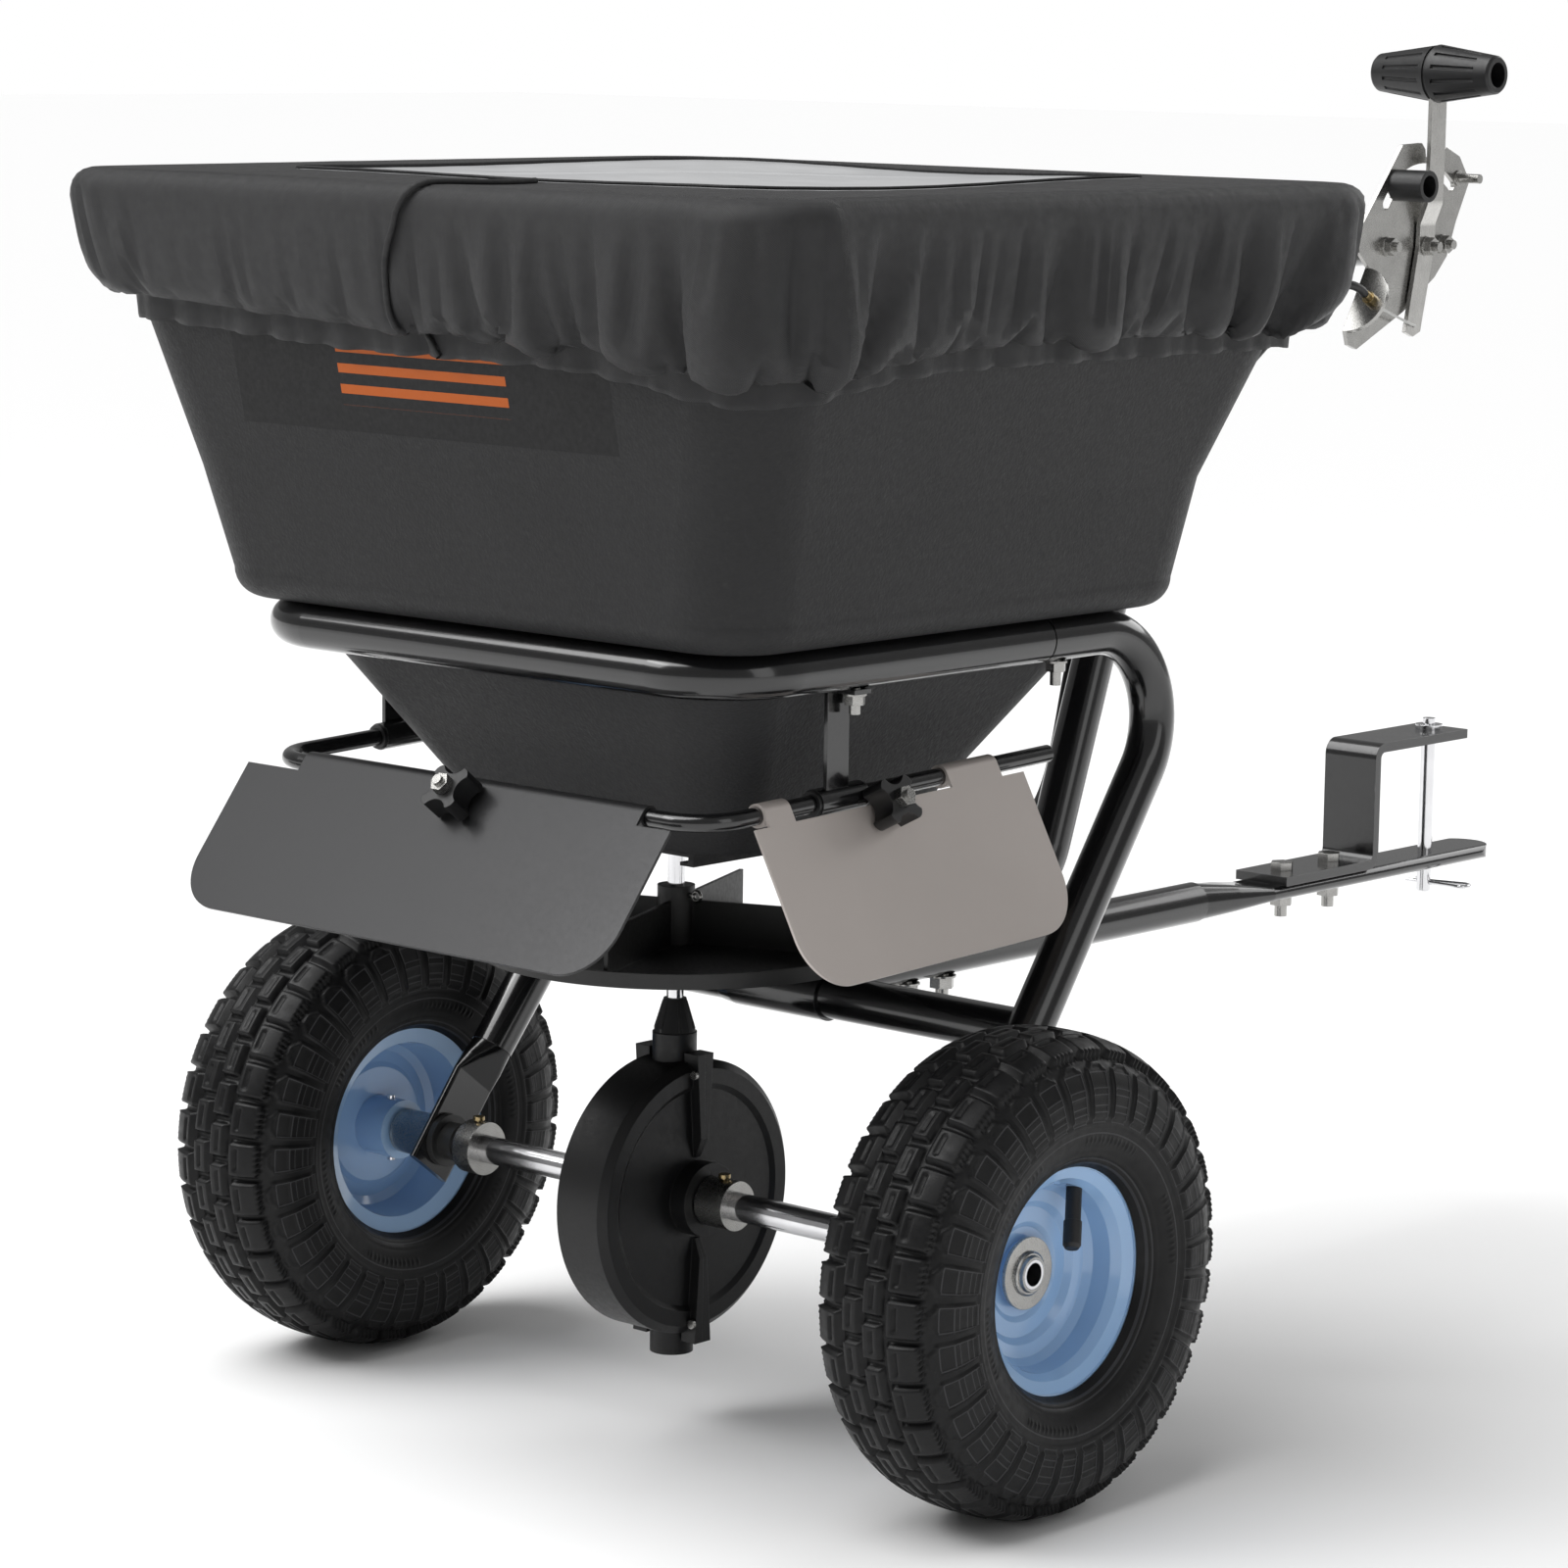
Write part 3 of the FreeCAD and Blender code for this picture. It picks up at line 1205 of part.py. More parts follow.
def case_profile(outer):
    """Half outline of the drum, from its left hub boss to its right one."""
    inset = 0.0 if outer else CASE_WALL
    r = CASE_R - inset
    x = CASE_HALF - inset
    step = 4.0
    dip = 2.0
    groove_r = CASE_R - 13.0 - inset
    dish = [
        (x - step, r), (x, r - 4.5), (x, groove_r), (x - dip, groove_r - 3.0),
    ]
    hub_r = 21.0 - inset
    hub_x = CASE_HALF + 9.0 - inset
    right = dish + [(x - dip, hub_r), (hub_x, hub_r), (hub_x, 0.0)]
    left = [(-a, b) for a, b in reversed(right)]
    return left + right


def make_case_body():
    centre = V(SHAFT_X, 0, AXLE_Z)
    shell = revolved(case_profile(True), centre, X_DIR)
    boss_top = AXLE_Z + 92.0
    top_boss = cyl(SHAFT_X, 0, AXLE_Z + 70, BOSS_R, 22)
    cone = Part.makeCone(BOSS_R - 0.8, 6.4, 19.0, V(SHAFT_X, 0, boss_top), Z_DIR)
    low_boss = cyl(SHAFT_X, 0, AXLE_Z - 91.0, BOSS_R - 0.3, 25)
    ribs = []
    for side in (-1, 1):
        for up in (-1, 1):
            ribs.append(case_rib(side, up))
    fins = []
    for k in range(6):
        a = math.radians(60 * k + 30)
        fin = box(5.0, 11.6, -0.9, 0.9, 0, 17.5)
        slope = Part.makeCone(12.4, 7.0, 17.5, V(0, 0, 0), Z_DIR)
        fin = fin.common(slope)
        fin.rotate(V(0, 0, 0), Z_DIR, math.degrees(a))
        fin.translate(V(SHAFT_X, 0, boss_top))
        fins.append(fin)
    solid = joined([shell, top_boss, cone, low_boss] + ribs + fins)
    hollow = revolved(case_profile(False), centre, X_DIR)
    low_hollow = cyl(SHAFT_X, 0, AXLE_Z - 88.0, BOSS_R - 3.0, 30)
    shaft_bore = cyl(SHAFT_X, 0, AXLE_Z + 60, SHAFT_R + RUN_FIT, 70)
    axle_bore = cyl(SHAFT_X - 60, 0, AXLE_Z, AXLE_R + RUN_FIT, 120, X_DIR)
    return solid.cut(group([hollow, low_hollow, shaft_bore, axle_bore]))


def case_rib(side, up):
    """A split flange: narrow at the hub and broad at the drum's edge."""
    x_face = SHAFT_X + side * (CASE_HALF - 6.0)
    x_proud = SHAFT_X + side * (CASE_HALF + 4.5)
    z_hub = AXLE_Z + up * 23.0
    z_rim = AXLE_Z + up * (CASE_R + 5.0)
    corners = [V(x_face, -2.2, z_hub), V(x_face, 2.2, z_hub), V(x_face, 6.4, z_rim), V(x_face, -6.4, z_rim)]
    face = Part.Face(Part.makePolygon(corners + [corners[0]]))
    wedge = face.extrude(V(x_proud - x_face, 0, 0))
    taper = [
        V(x_face, -20, z_hub), V(x_face + side * 5.5, -20, z_hub),
        V(x_proud, -20, AXLE_Z + up * 34.0), V(x_proud, -20, z_rim), V(x_face, -20, z_rim),
    ]
    side_view = Part.Face(Part.makePolygon(taper + [taper[0]])).extrude(V(0, 40, 0))
    return wedge.common(side_view)


CASE_SCREW_R = 1.5


def case_screw_spots():
    spots = []
    for side in (-1, 1):
        for up in (-1, 1):
            spots.append((SHAFT_X + side * (CASE_HALF + 2.7), AXLE_Z + up * 71.0))
    return spots


def case_screw_holes():
    return [cyl(x, -20, z, CASE_SCREW_R + RUN_FIT, 40, Y_DIR) for x, z in case_screw_spots()]


def make_gear_case(front):
    y0, y1 = (0, 100) if front else (-100, 0)
    half = box(-100, 100, y0, y1, 0, 300)
    return make_case_body().common(half).cut(group(case_screw_holes()))


def make_case_screws():
    """Small screws that close the two halves; their heads are at the rear."""
    screws = []
    for x, z in case_screw_spots():
        head = cyl(x, -8.2, z, 2.5, 1.9, Y_DIR)
        stem = cyl(x, -8.2, z, CASE_SCREW_R, 13.0, Y_DIR)
        screws.append(joined([head, stem]))
    return group(screws)


def make_crown_gear():
    """A face gear fixed to the axle; its teeth point to the right at the pinion."""
    disc = cyl(CROWN_BACK_X, 0, AXLE_Z, 48.6, CROWN_FACE_X - CROWN_BACK_X, X_DIR)
    hub = cyl(CROWN_FACE_X, 0, AXLE_Z, 14.0, CROWN_HUB_X + 5.0 - CROWN_FACE_X, X_DIR)
    teeth = []
    for k in range(CROWN_TEETH):
        tooth = box(CROWN_FACE_X - 0.2, CROWN_TOOTH_TOP_X, -0.55, 0.55, 42.6, 48.0)
        tooth.rotate(V(0, 0, 0), X_DIR, (k + 0.5) * 360.0 / CROWN_TEETH)
        tooth.translate(V(0, 0, AXLE_Z))
        teeth.append(tooth)
    gear = disc.multiFuse([hub] + teeth)
    gear = gear.cut(cyl(CROWN_BACK_X - 5, 0, AXLE_Z, AXLE_R, 60, X_DIR))
    windows = []
    for k in range(6):
        a = math.radians(60 * k)
        windows.append(cyl(CROWN_BACK_X - 5, 28 * math.cos(a), AXLE_Z + 28 * math.sin(a), 9.0, 12, X_DIR))
    return gear.cut(group(windows))


def make_pinion():
    low = MESH_Z - 7.0
    height = 14.0
    core = cyl(SHAFT_X, 0, low, 5.9, height)
    teeth = []
    for k in range(PINION_TEETH):
        tooth = box(5.0, 8.9, -0.55, 0.55, 0, height)
        tooth.rotate(V(0, 0, 0), Z_DIR, 180 + k * 360.0 / PINION_TEETH)
        tooth.translate(V(SHAFT_X, 0, low))
        teeth.append(tooth)
    gear = core.multiFuse(teeth)
    return gear.cut(cyl(SHAFT_X, 0, low - 1, SHAFT_R, height + 2))


# ---------------------------------------------------------------- impeller and its shaft

IMPELLER_R = 110.0
IMPELLER_Z = 267.0
DISC_THICK = 2.5
RIM_HEIGHT = 8.5
VANE_TOP_Z = 297.0
SHAFT_TOP_Z = 378.0
PIN_HEIGHT_Z = 300.0
AGITATOR_Z = 366.0


def make_impeller():
    """A spinner disc with a raised rim and four vanes springing from its hub."""
    z0 = IMPELLER_Z
    disc = cyl(SHAFT_X, 0, z0 + 3, IMPELLER_R, DISC_THICK)
    skirt = ring(SHAFT_X, 0, z0, IMPELLER_R, IMPELLER_R - 2.5, RIM_HEIGHT)
    hub = cyl(SHAFT_X, 0, z0, 10.5, PIN_HEIGHT_Z + 5 - z0)
    vanes = []
    for k in range(4):
        vane = box(6.0, IMPELLER_R - 6.0, -1.2, 1.2, 0, VANE_TOP_Z - z0 - 4)
        vane.rotate(V(0, 0, 0), Z_DIR, 90 * k + 22)
        vane.translate(V(SHAFT_X, 0, z0 + 4))
        vanes.append(vane)
    wheel = joined([disc, skirt, hub] + vanes)
    bore = cyl(SHAFT_X, 0, z0 - 5, SHAFT_R, 60)
    cross = cyl(SHAFT_X - 20, 0, PIN_HEIGHT_Z, 1.5, 40, X_DIR)
    return wheel.cut(bore).cut(cross)


def make_impeller_shaft():
    low = MESH_Z - 7.0
    shaft = cyl(SHAFT_X, 0, low, SHAFT_R, SHAFT_TOP_Z - low)
    cuts = [
        cyl(SHAFT_X - 20, 0, PIN_HEIGHT_Z, 1.5, 40, X_DIR),
        cyl(SHAFT_X - 20, 0, AGITATOR_Z, 2.0, 40, X_DIR),
    ]
    return shaft.cut(group(cuts))


def make_impeller_pin():
    """The cotter through hub and shaft, its eye standing out at one side."""
    stem = cyl(SHAFT_X - 13, 0, PIN_HEIGHT_Z, 1.5, 26, X_DIR)
    eye = Part.makeTorus(2.6, 1.2, V(SHAFT_X + 15.6, 0, PIN_HEIGHT_Z), Y_DIR)
    return joined([stem, eye])


def make_agitator():
    """A wire that stirs the load above the ports, bent up at both ends."""
    reach = 46.0
    points = [
        V(SHAFT_X - reach, 0, AGITATOR_Z + 22),
        V(SHAFT_X - reach + 8, 0, AGITATOR_Z),
        V(SHAFT_X + reach - 8, 0, AGITATOR_Z),
        V(SHAFT_X + reach, 0, AGITATOR_Z + 22),
    ]
    return sweep(bent_path(points, [6.0, 6.0]), 2.0)


def make_m6_nuts():
    """Nuts on the hopper bolts, on the two tube bolts and on the lever's pivot."""
    below_loop = LOOP_Z - TUBE_R
    nuts = []
    for sign in (-1, 1):
        nuts.append(nut(sign * LOOP_HALF, HOPPER_BOLT_Y[0], below_loop - 2.5, BOLT_R, Z_DIR * -1))
        nuts.append(nut(sign * LOOP_HALF, HOPPER_BOLT_Y[1], below_loop, BOLT_R, Z_DIR * -1))
    for y in TUBE_BOLT_Y:
        nuts.append(nut(PLATE_X + PLATE_THICK, y, POST_TOP_Z, BOLT_R, X_DIR))
    nuts.append(nut(LEVER_X + LEVER_THICK + 0.2, PIVOT.y, PIVOT.z, BOLT_R, X_DIR))
    return group(nuts)


# ---------------------------------------------------------------- write every node

save("rear_hoop", make_rear_hoop())
side_frame_right = make_side_frame_right()
save("side_frame_right", side_frame_right)
save("side_frame_left", mirrored(side_frame_right))
save("cross_tube", make_cross_tube())
save("tow_sleeve", make_tow_sleeve())
save("tow_bar", make_tow_bar())
save("hitch_bracket", make_hitch_bracket())
save("hitch_bolts", make_hitch_bolts())
save("post_bolts", make_post_bolts())
save("m8_nuts", make_m8_nuts())
save("m6_nuts", make_m6_nuts())
save("hitch_pin", make_hitch_pin())
save("hitch_clip", make_hitch_clip())
save("handle_post", make_handle_post())
save("lever_bracket", make_lever_bracket())
save("bracket_bolts", make_bracket_bolts())
save("bracket_stud", make_bracket_stud())
save("control_lever", make_control_lever())
save("lever_grip", make_lever_grip())
save("stop_knob", make_stop_knob())
save("stop_screw", make_stop_screw())
save("cable_sheath", make_cable_sheath())
save("cable_ferrule", make_cable_ferrule())
save("cable_wire", make_cable_wire())
save("hopper", make_hopper())
save("gate_plate", make_gate_plate())
save("hopper_bolts", make_hopper_bolts())
save("hopper_cover", make_hopper_cover())
save("deflector_rod", make_deflector_rod())
save("hanger_left", make_hanger(LEFT))
save("hanger_right", make_hanger(RIGHT))
save("rod_bushes", make_rod_bushes())
save("deflector_rear", make_deflector_rear())
save("deflector_side", make_deflector_side())
save("clamp_screw_rear", place_rear(clamp_screw(REAR_KNOB_AT), REAR_SWING, REAR_RIGHT_X))
save("clamp_screw_side", place_side(clamp_screw(SIDE_KNOB_AT), SIDE_SWING, SIDE_FRONT_Y))
save("knob_rear", place_rear(lobed_knob(REAR_KNOB_AT), REAR_SWING, REAR_RIGHT_X))
save("knob_side", place_side(lobed_knob(SIDE_KNOB_AT), SIDE_SWING, SIDE_FRONT_Y))
save("drive_rim", wheel_rim_with_valve_hole(LEFT, AXLE_R).cut(make_wheel_pin()))
save("free_rim", wheel_rim_with_valve_hole(RIGHT, HUB_BORE_R))
save("drive_tyre", make_tyre(LEFT))
save("free_tyre", make_tyre(RIGHT))
save("drive_valve", make_valve(LEFT))
save("free_valve", make_valve(RIGHT))
save("hub_bushes", make_hub_bushes())
save("axle", make_axle())
save("axle_bushes", make_axle_bushes())
save("set_collars", make_set_collars())
save("collar_screws", make_collar_screws())
save("hub_washers", make_hub_washers())
save("wheel_pin", make_wheel_pin())
save("gear_case_front", make_gear_case(True))
save("gear_case_rear", make_gear_case(False))
save("case_screws", make_case_screws())
save("crown_gear", make_crown_gear())
save("pinion", make_pinion())
save("impeller", make_impeller())
save("impeller_shaft", make_impeller_shaft())
save("impeller_pin", make_impeller_pin())
save("agitator", make_agitator())
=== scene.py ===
import json
import math

import bmesh
import bpy
import numpy as np
from mathutils import Matrix, Vector


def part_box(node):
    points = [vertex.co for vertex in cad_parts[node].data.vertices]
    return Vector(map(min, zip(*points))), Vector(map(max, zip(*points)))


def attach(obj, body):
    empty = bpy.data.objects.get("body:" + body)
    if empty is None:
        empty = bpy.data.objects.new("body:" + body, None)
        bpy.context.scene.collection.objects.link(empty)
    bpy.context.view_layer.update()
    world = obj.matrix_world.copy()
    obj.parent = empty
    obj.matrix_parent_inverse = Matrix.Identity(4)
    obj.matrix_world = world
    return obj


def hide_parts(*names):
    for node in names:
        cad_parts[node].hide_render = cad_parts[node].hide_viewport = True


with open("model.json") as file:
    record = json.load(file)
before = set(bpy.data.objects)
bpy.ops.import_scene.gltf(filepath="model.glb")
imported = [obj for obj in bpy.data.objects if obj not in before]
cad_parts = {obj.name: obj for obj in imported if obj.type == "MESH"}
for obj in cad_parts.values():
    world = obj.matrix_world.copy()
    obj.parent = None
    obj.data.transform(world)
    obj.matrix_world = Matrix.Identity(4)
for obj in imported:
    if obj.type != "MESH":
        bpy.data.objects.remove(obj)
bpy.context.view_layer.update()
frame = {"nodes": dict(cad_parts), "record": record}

MM = 0.001

# Tyre mesh: tread blocks round the tyre, mesh steps per block, and points from bead to bead.
PITCHES = 34
STEPS_PER_PITCH = 22
ACROSS = 150
# The tyre's radius, and half its width in millimetres, that its profile and sidewall lines are drawn for.
TYRE_R = 130 * MM
PROFILE_HALF = 42.8
# How far round the shoulder blocks sit from the centre ones, in blocks.
LUG_SHIFT = 0.42

# Cover mesh: columns round the hopper, and rings on the top, over the rolled edge and down the skirt.
AROUND = 460
TOP_RINGS = 32
EDGE_RINGS = 6
SKIRT_RINGS = 26
# Cover shape. The two shares are of the way out to the edge, and of the way down the skirt.
EDGE_R = 16 * MM
WINDOW_SHARE = 0.66
SEAM_SHARE = 0.76
PROUD = 4 * MM
RIM_CORNER_R = 54 * MM
WALL_CORNER_R = 46 * MM
BAND = 15 * MM
FOLD = 12.5 * MM
BULGE = 3 * MM
GATHER = 3.4 * MM
CORNER_DROOP = 15 * MM
CORNER_REACH = 95 * MM
LEFT_LIFT = 9 * MM
CLOTH_THICK = 0.9 * MM
# Cloth simulation: how much too full the skirt is cut, the frames it settles for, and the points
# round the stand-in hopper that it settles on.
SLACK = 0.1
SETTLE_FRAMES = 30
FORM_POINTS = 120

# Studio light in watts for the lamps; the world shines weaker than it looks to the camera.
WORLD_LIGHT = 0.27
SUN_LIGHT = 3.05
LAMPS = (
    # name, place, aimed at, width, height, power
    ("key", (-1.6, -2.0, 2.2), (0, 0, 0.4), 1.6, 1.0, 23),
    ("side", (3.0, -0.2, 1.5), (0, 0, 0.35), 1.2, 2.2, 9),
    ("back", (0.4, 3.2, 1.7), (0, 0.2, 0.4), 2.2, 1.2, 20),
)

# Camera: place in metres, heading left of forwards, dip and lean in degrees, lens in millimetres.
CAMERA_AT = (1.84096, -1.97697, 0.78589)
CAMERA_HEADING = 41.764
CAMERA_DIP = 8.913
CAMERA_LEAN = 0.7965
CAMERA_LENS = 113.64


# ---------------------------------------------------------------- material helpers

def srgb(r, g, b):
    """A colour given as it looks on a screen, 0 to 255, turned into linear light."""
    def one(v):
        v = v / 255
        return v / 12.92 if v <= 0.04045 else ((v + 0.055) / 1.055) ** 2.4
    return (one(r), one(g), one(b), 1.0)


def scaled(colour, k):
    """A colour made k times as bright."""
    return (min(1, colour[0] * k), min(1, colour[1] * k), min(1, colour[2] * k), 1.0)


class Look:
    """A principled material with a short way to add nodes."""

    def __init__(self, name):
        self.mat = bpy.data.materials.new(name)
        self.mat.use_nodes = True
        self.tree = self.mat.node_tree
        self.shader = self.tree.nodes["Principled BSDF"]
        self.where = self.tree.nodes.new("ShaderNodeTexCoord").outputs["Object"]

    def node(self, kind, **inputs):
        """A new node, with each input set to a number or linked to another node's output."""
        made = self.tree.nodes.new(kind)
        for key, value in inputs.items():
            if hasattr(value, "is_linked"):
                self.tree.links.new(value, made.inputs[key])
            else:
                made.inputs[key].default_value = value
        return made

    def set(self, socket, value):
        if hasattr(value, "is_linked"):
            self.tree.links.new(value, self.shader.inputs[socket])
        else:
            self.shader.inputs[socket].default_value = value

    def noise(self, size, detail=3.0, rough=0.5, at=None):
        """Cloudy noise with features of about this size."""
        made = self.node("ShaderNodeTexNoise", Scale=1 / size, Detail=detail, Roughness=rough)
        self.tree.links.new(at or self.where, made.inputs["Vector"])
        return made.outputs["Fac"]

    def cells(self, size):
        """Distance from the nearest of scattered points, about this far apart."""
        made = self.node("ShaderNodeTexVoronoi", Scale=1 / size)
        self.tree.links.new(self.where, made.inputs["Vector"])
        return made.outputs["Distance"]

    def stretched(self, x, y, z):
        made = self.node("ShaderNodeMapping", Vector=self.where)
        made.inputs["Scale"].default_value = (x, y, z)
        return made.outputs["Vector"]

    def range(self, value, low, high, to_low, to_high):
        """Value moved from one range to another, and held inside it."""
        made = self.node("ShaderNodeMapRange", Value=value)
        ends = (("From Min", low), ("From Max", high), ("To Min", to_low), ("To Max", to_high))
        for key, number in ends:
            made.inputs[key].default_value = number
        return made.outputs["Result"]

    def math(self, how, a, b=0.0):
        made = self.tree.nodes.new("ShaderNodeMath")
        made.operation = how
        for slot, value in enumerate((a, b)):
            if hasattr(value, "is_linked"):
                self.tree.links.new(value, made.inputs[slot])
            else:
                made.inputs[slot].default_value = value
        return made.outputs[0]

    def product(self, *values):
        made = values[0]
        for value in values[1:]:
            made = self.math("MULTIPLY", made, value)
        return made

    def between(self, value, low, high):
        """1 where value is between low and high, else 0."""
        return self.product(self.math("GREATER_THAN", value, low), self.math("LESS_THAN", value, high))

    def off(self, value, at):
        """Distance of value from at."""
        return self.math("ABSOLUTE", self.math("SUBTRACT", value, at))

    def mix(self, factor, a, b):
        made = self.tree.nodes.new("ShaderNodeMix")
        made.data_type = "RGBA"
        sockets = {"Factor": 0, "A": 6, "B": 7}
        for key, value in (("Factor", factor), ("A", a), ("B", b)):
            if hasattr(value, "is_linked"):
                self.tree.links.new(value, made.inputs[sockets[key]])
            else:
                made.inputs[sockets[key]].default_value = value
        return made.outputs[2]

    def edges(self, radius):
        """White along outer edges, black on flat faces."""
        bevel = self.tree.nodes.new("ShaderNodeBevel")
        bevel.samples = 4
        bevel.inputs["Radius"].default_value = radius
        geometry = self.tree.nodes.new("ShaderNodeNewGeometry")
        dot = self.tree.nodes.new("ShaderNodeVectorMath")
        dot.operation = "DOT_PRODUCT"
        self.tree.links.new(bevel.outputs[0], dot.inputs[0])
        self.tree.links.new(geometry.outputs["Normal"], dot.inputs[1])
        return self.range(dot.outputs["Value"], 0.9, 1.0, 1.0, 0.0)

    def bump(self, height, depth, strength=1.0, rounded=0.0):
        """Fine relief on the surface, over edges that are shaded as rounded."""
        made = self.node("ShaderNodeBump", Height=height, Strength=strength, Distance=depth)
        if rounded:
            bevel = self.tree.nodes.new("ShaderNodeBevel")
            bevel.samples = 4
            bevel.inputs["Radius"].default_value = rounded
            self.tree.links.new(bevel.outputs[0], made.inputs["Normal"])
        self.set("Normal", made.outputs["Normal"])


def coated(name, colour, rough, metallic=0.0, coat=0.0, tone=0.12, grain=0.6 * MM, depth=0.05 * MM,
           rounded=0.6 * MM, wear=0.0, wear_colour=None, specular=0.5):
    """Paint, plating or plain plastic: drifting tone, fine grain, softened edges and optional wear."""
    look = Look(name)
    drift = look.noise(45 * MM, 4)
    speck = look.noise(2.5 * MM, 2)
    toned = look.mix(drift, scaled(colour, 1 - tone), scaled(colour, 1 + tone))
    if wear:
        patches = look.range(look.noise(9 * MM), 0.42, 0.62, 0, wear)
        patchy = look.product(look.edges(1.2 * MM), patches)
        toned = look.mix(patchy, toned, wear_colour or scaled(colour, 2.2))
    look.set("Base Color", toned)
    look.set("Roughness", look.range(speck, 0.3, 0.7, rough * 0.88, rough * 1.14))
    look.set("Metallic", metallic)
    look.set("Coat Weight", coat)
    look.set("Coat Roughness", 0.08)
    look.set("Specular IOR Level", specular)
    look.bump(look.noise(grain, 2), depth, 0.5, rounded)
    return look


def brushed(name, colour, rough, along=(1, 1, 1), spangle=0.0):
    """Bare or zinc plated steel with fine drawn lines and a faint crystal mottle."""
    look = Look(name)
    lines = look.noise(0.5 * MM, 3, 0.6, look.stretched(*along))
    mottle = look.cells(7 * MM)
    drift = look.noise(22 * MM, 3)
    tone = look.math("ADD", look.product(mottle, spangle), drift)
    look.set("Base Color", look.mix(tone, scaled(colour, 0.82), scaled(colour, 1.12)))
    look.set("Metallic", 1.0)
    look.set("Roughness", look.range(lines, 0.3, 0.7, rough * 0.8, rough * 1.25))
    look.bump(lines, 0.02 * MM, 0.4, 0.5 * MM)
    return look


def hopper_look(name):
    """Rotation-moulded black plastic: a pebbled grain, and a smooth printed panel on the rear wall."""
    look = Look(name)
    xyz = look.node("ShaderNodeSeparateXYZ", Vector=look.where).outputs
    drift = look.noise(70 * MM, 4)
    base = look.mix(drift, srgb(27, 27, 28), srgb(36, 36, 37))
    low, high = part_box("hopper")
    rear = look.math("LESS_THAN", xyz["Y"], low.y + 60 * MM)
    panel_half = 0.54 * high.x
    panel_low = low.z + 0.645 * (high.z - low.z)
    across = look.between(xyz["X"], -panel_half, panel_half * 0.93)
    panel = look.product(across, look.math("GREATER_THAN", xyz["Z"], panel_low), rear)
    stripe_pitch = 11 * MM
    stripe_low = panel_low + 14 * MM
    stripe_high = high.z - 40 * MM
    stripes = look.math("LESS_THAN", look.math("FRACT", look.product(xyz["Z"], 1 / stripe_pitch)), 0.45)
    stripe_area = look.product(look.between(xyz["X"], -64 * MM, 60 * MM),
                               look.between(xyz["Z"], stripe_low, stripe_high))
    orange = look.product(stripes, stripe_area, rear)
    toned = look.mix(panel, base, srgb(19, 19, 20))
    scuffed = look.mix(look.range(look.noise(4 * MM, 4), 0.62, 0.8, 0, 0.35), toned, srgb(50, 50, 50))
    look.set("Base Color", look.mix(orange, scuffed, srgb(176, 86, 26)))
    pebble = look.math("ADD", look.noise(1.5 * MM, 3, 0.6), look.product(look.cells(1.9 * MM), 0.6))
    smooth = look.math("SUBTRACT", 1.0, look.product(panel, 0.85))
    look.set("Roughness", look.range(look.noise(3 * MM), 0.3, 0.7, 0.5, 0.62))
    look.set("Specular IOR Level", 0.28)
    look.bump(look.product(pebble, smooth), 0.32 * MM, 0.7, 1.5 * MM)
    return look


def woven(look, pitch, u, v):
    """A plain weave from two crossed sets of ridges, with u and v along the threads."""
    warp = look.math("SINE", look.product(u, 2 * math.pi / pitch))
    weft = look.math("SINE", look.product(v, 2 * math.pi / pitch))
    return look.product(warp, weft)


def cover_look(name):
    """Coated charcoal cloth: fine weave, faint lint and soft creases."""
    look = Look(name)
    uv = look.node("ShaderNodeUVMap").outputs["UV"]
    flat = look.node("ShaderNodeSeparateXYZ", Vector=uv).outputs
    weave = woven(look, 1.0 * MM, flat["X"], flat["Y"])
    drift = look.noise(55 * MM, 5)
    lint = look.range(look.noise(1.2 * MM, 2), 0.6, 0.8, 0.0, 0.3)
    toned = look.mix(drift, srgb(30, 30, 31), srgb(40, 40, 41))
    toned = look.mix(lint, toned, srgb(52, 52, 53))
    look.set("Base Color", look.mix(look.range(weave, -1, 1, 0, 0.25), toned, srgb(26, 26, 28)))
    look.set("Roughness", look.range(look.noise(6 * MM), 0.3, 0.7, 0.46, 0.6))
    look.set("Specular IOR Level", 0.36)
    look.set("Sheen Weight", 0.05)
    look.set("Sheen Roughness", 0.45)
    creases = look.product(look.noise(14 * MM, 5, 0.6), 6.0)
    look.bump(look.math("ADD", weave, creases), 0.12 * MM, 0.7)
    return look


def window_look(name):
    """Milky clear vinyl seen against pale light."""
    look = Look(name)
    drift = look.noise(60 * MM, 4)
    look.set("Base Color", look.mix(drift, srgb(176, 177, 179), srgb(206, 207, 208)))
    look.set("Roughness", look.range(look.noise(20 * MM), 0.3, 0.7, 0.3, 0.42))
    look.set("Coat Weight", 0.25)
    look.bump(look.noise(70 * MM, 2), 1.2 * MM, 0.5)
    return look


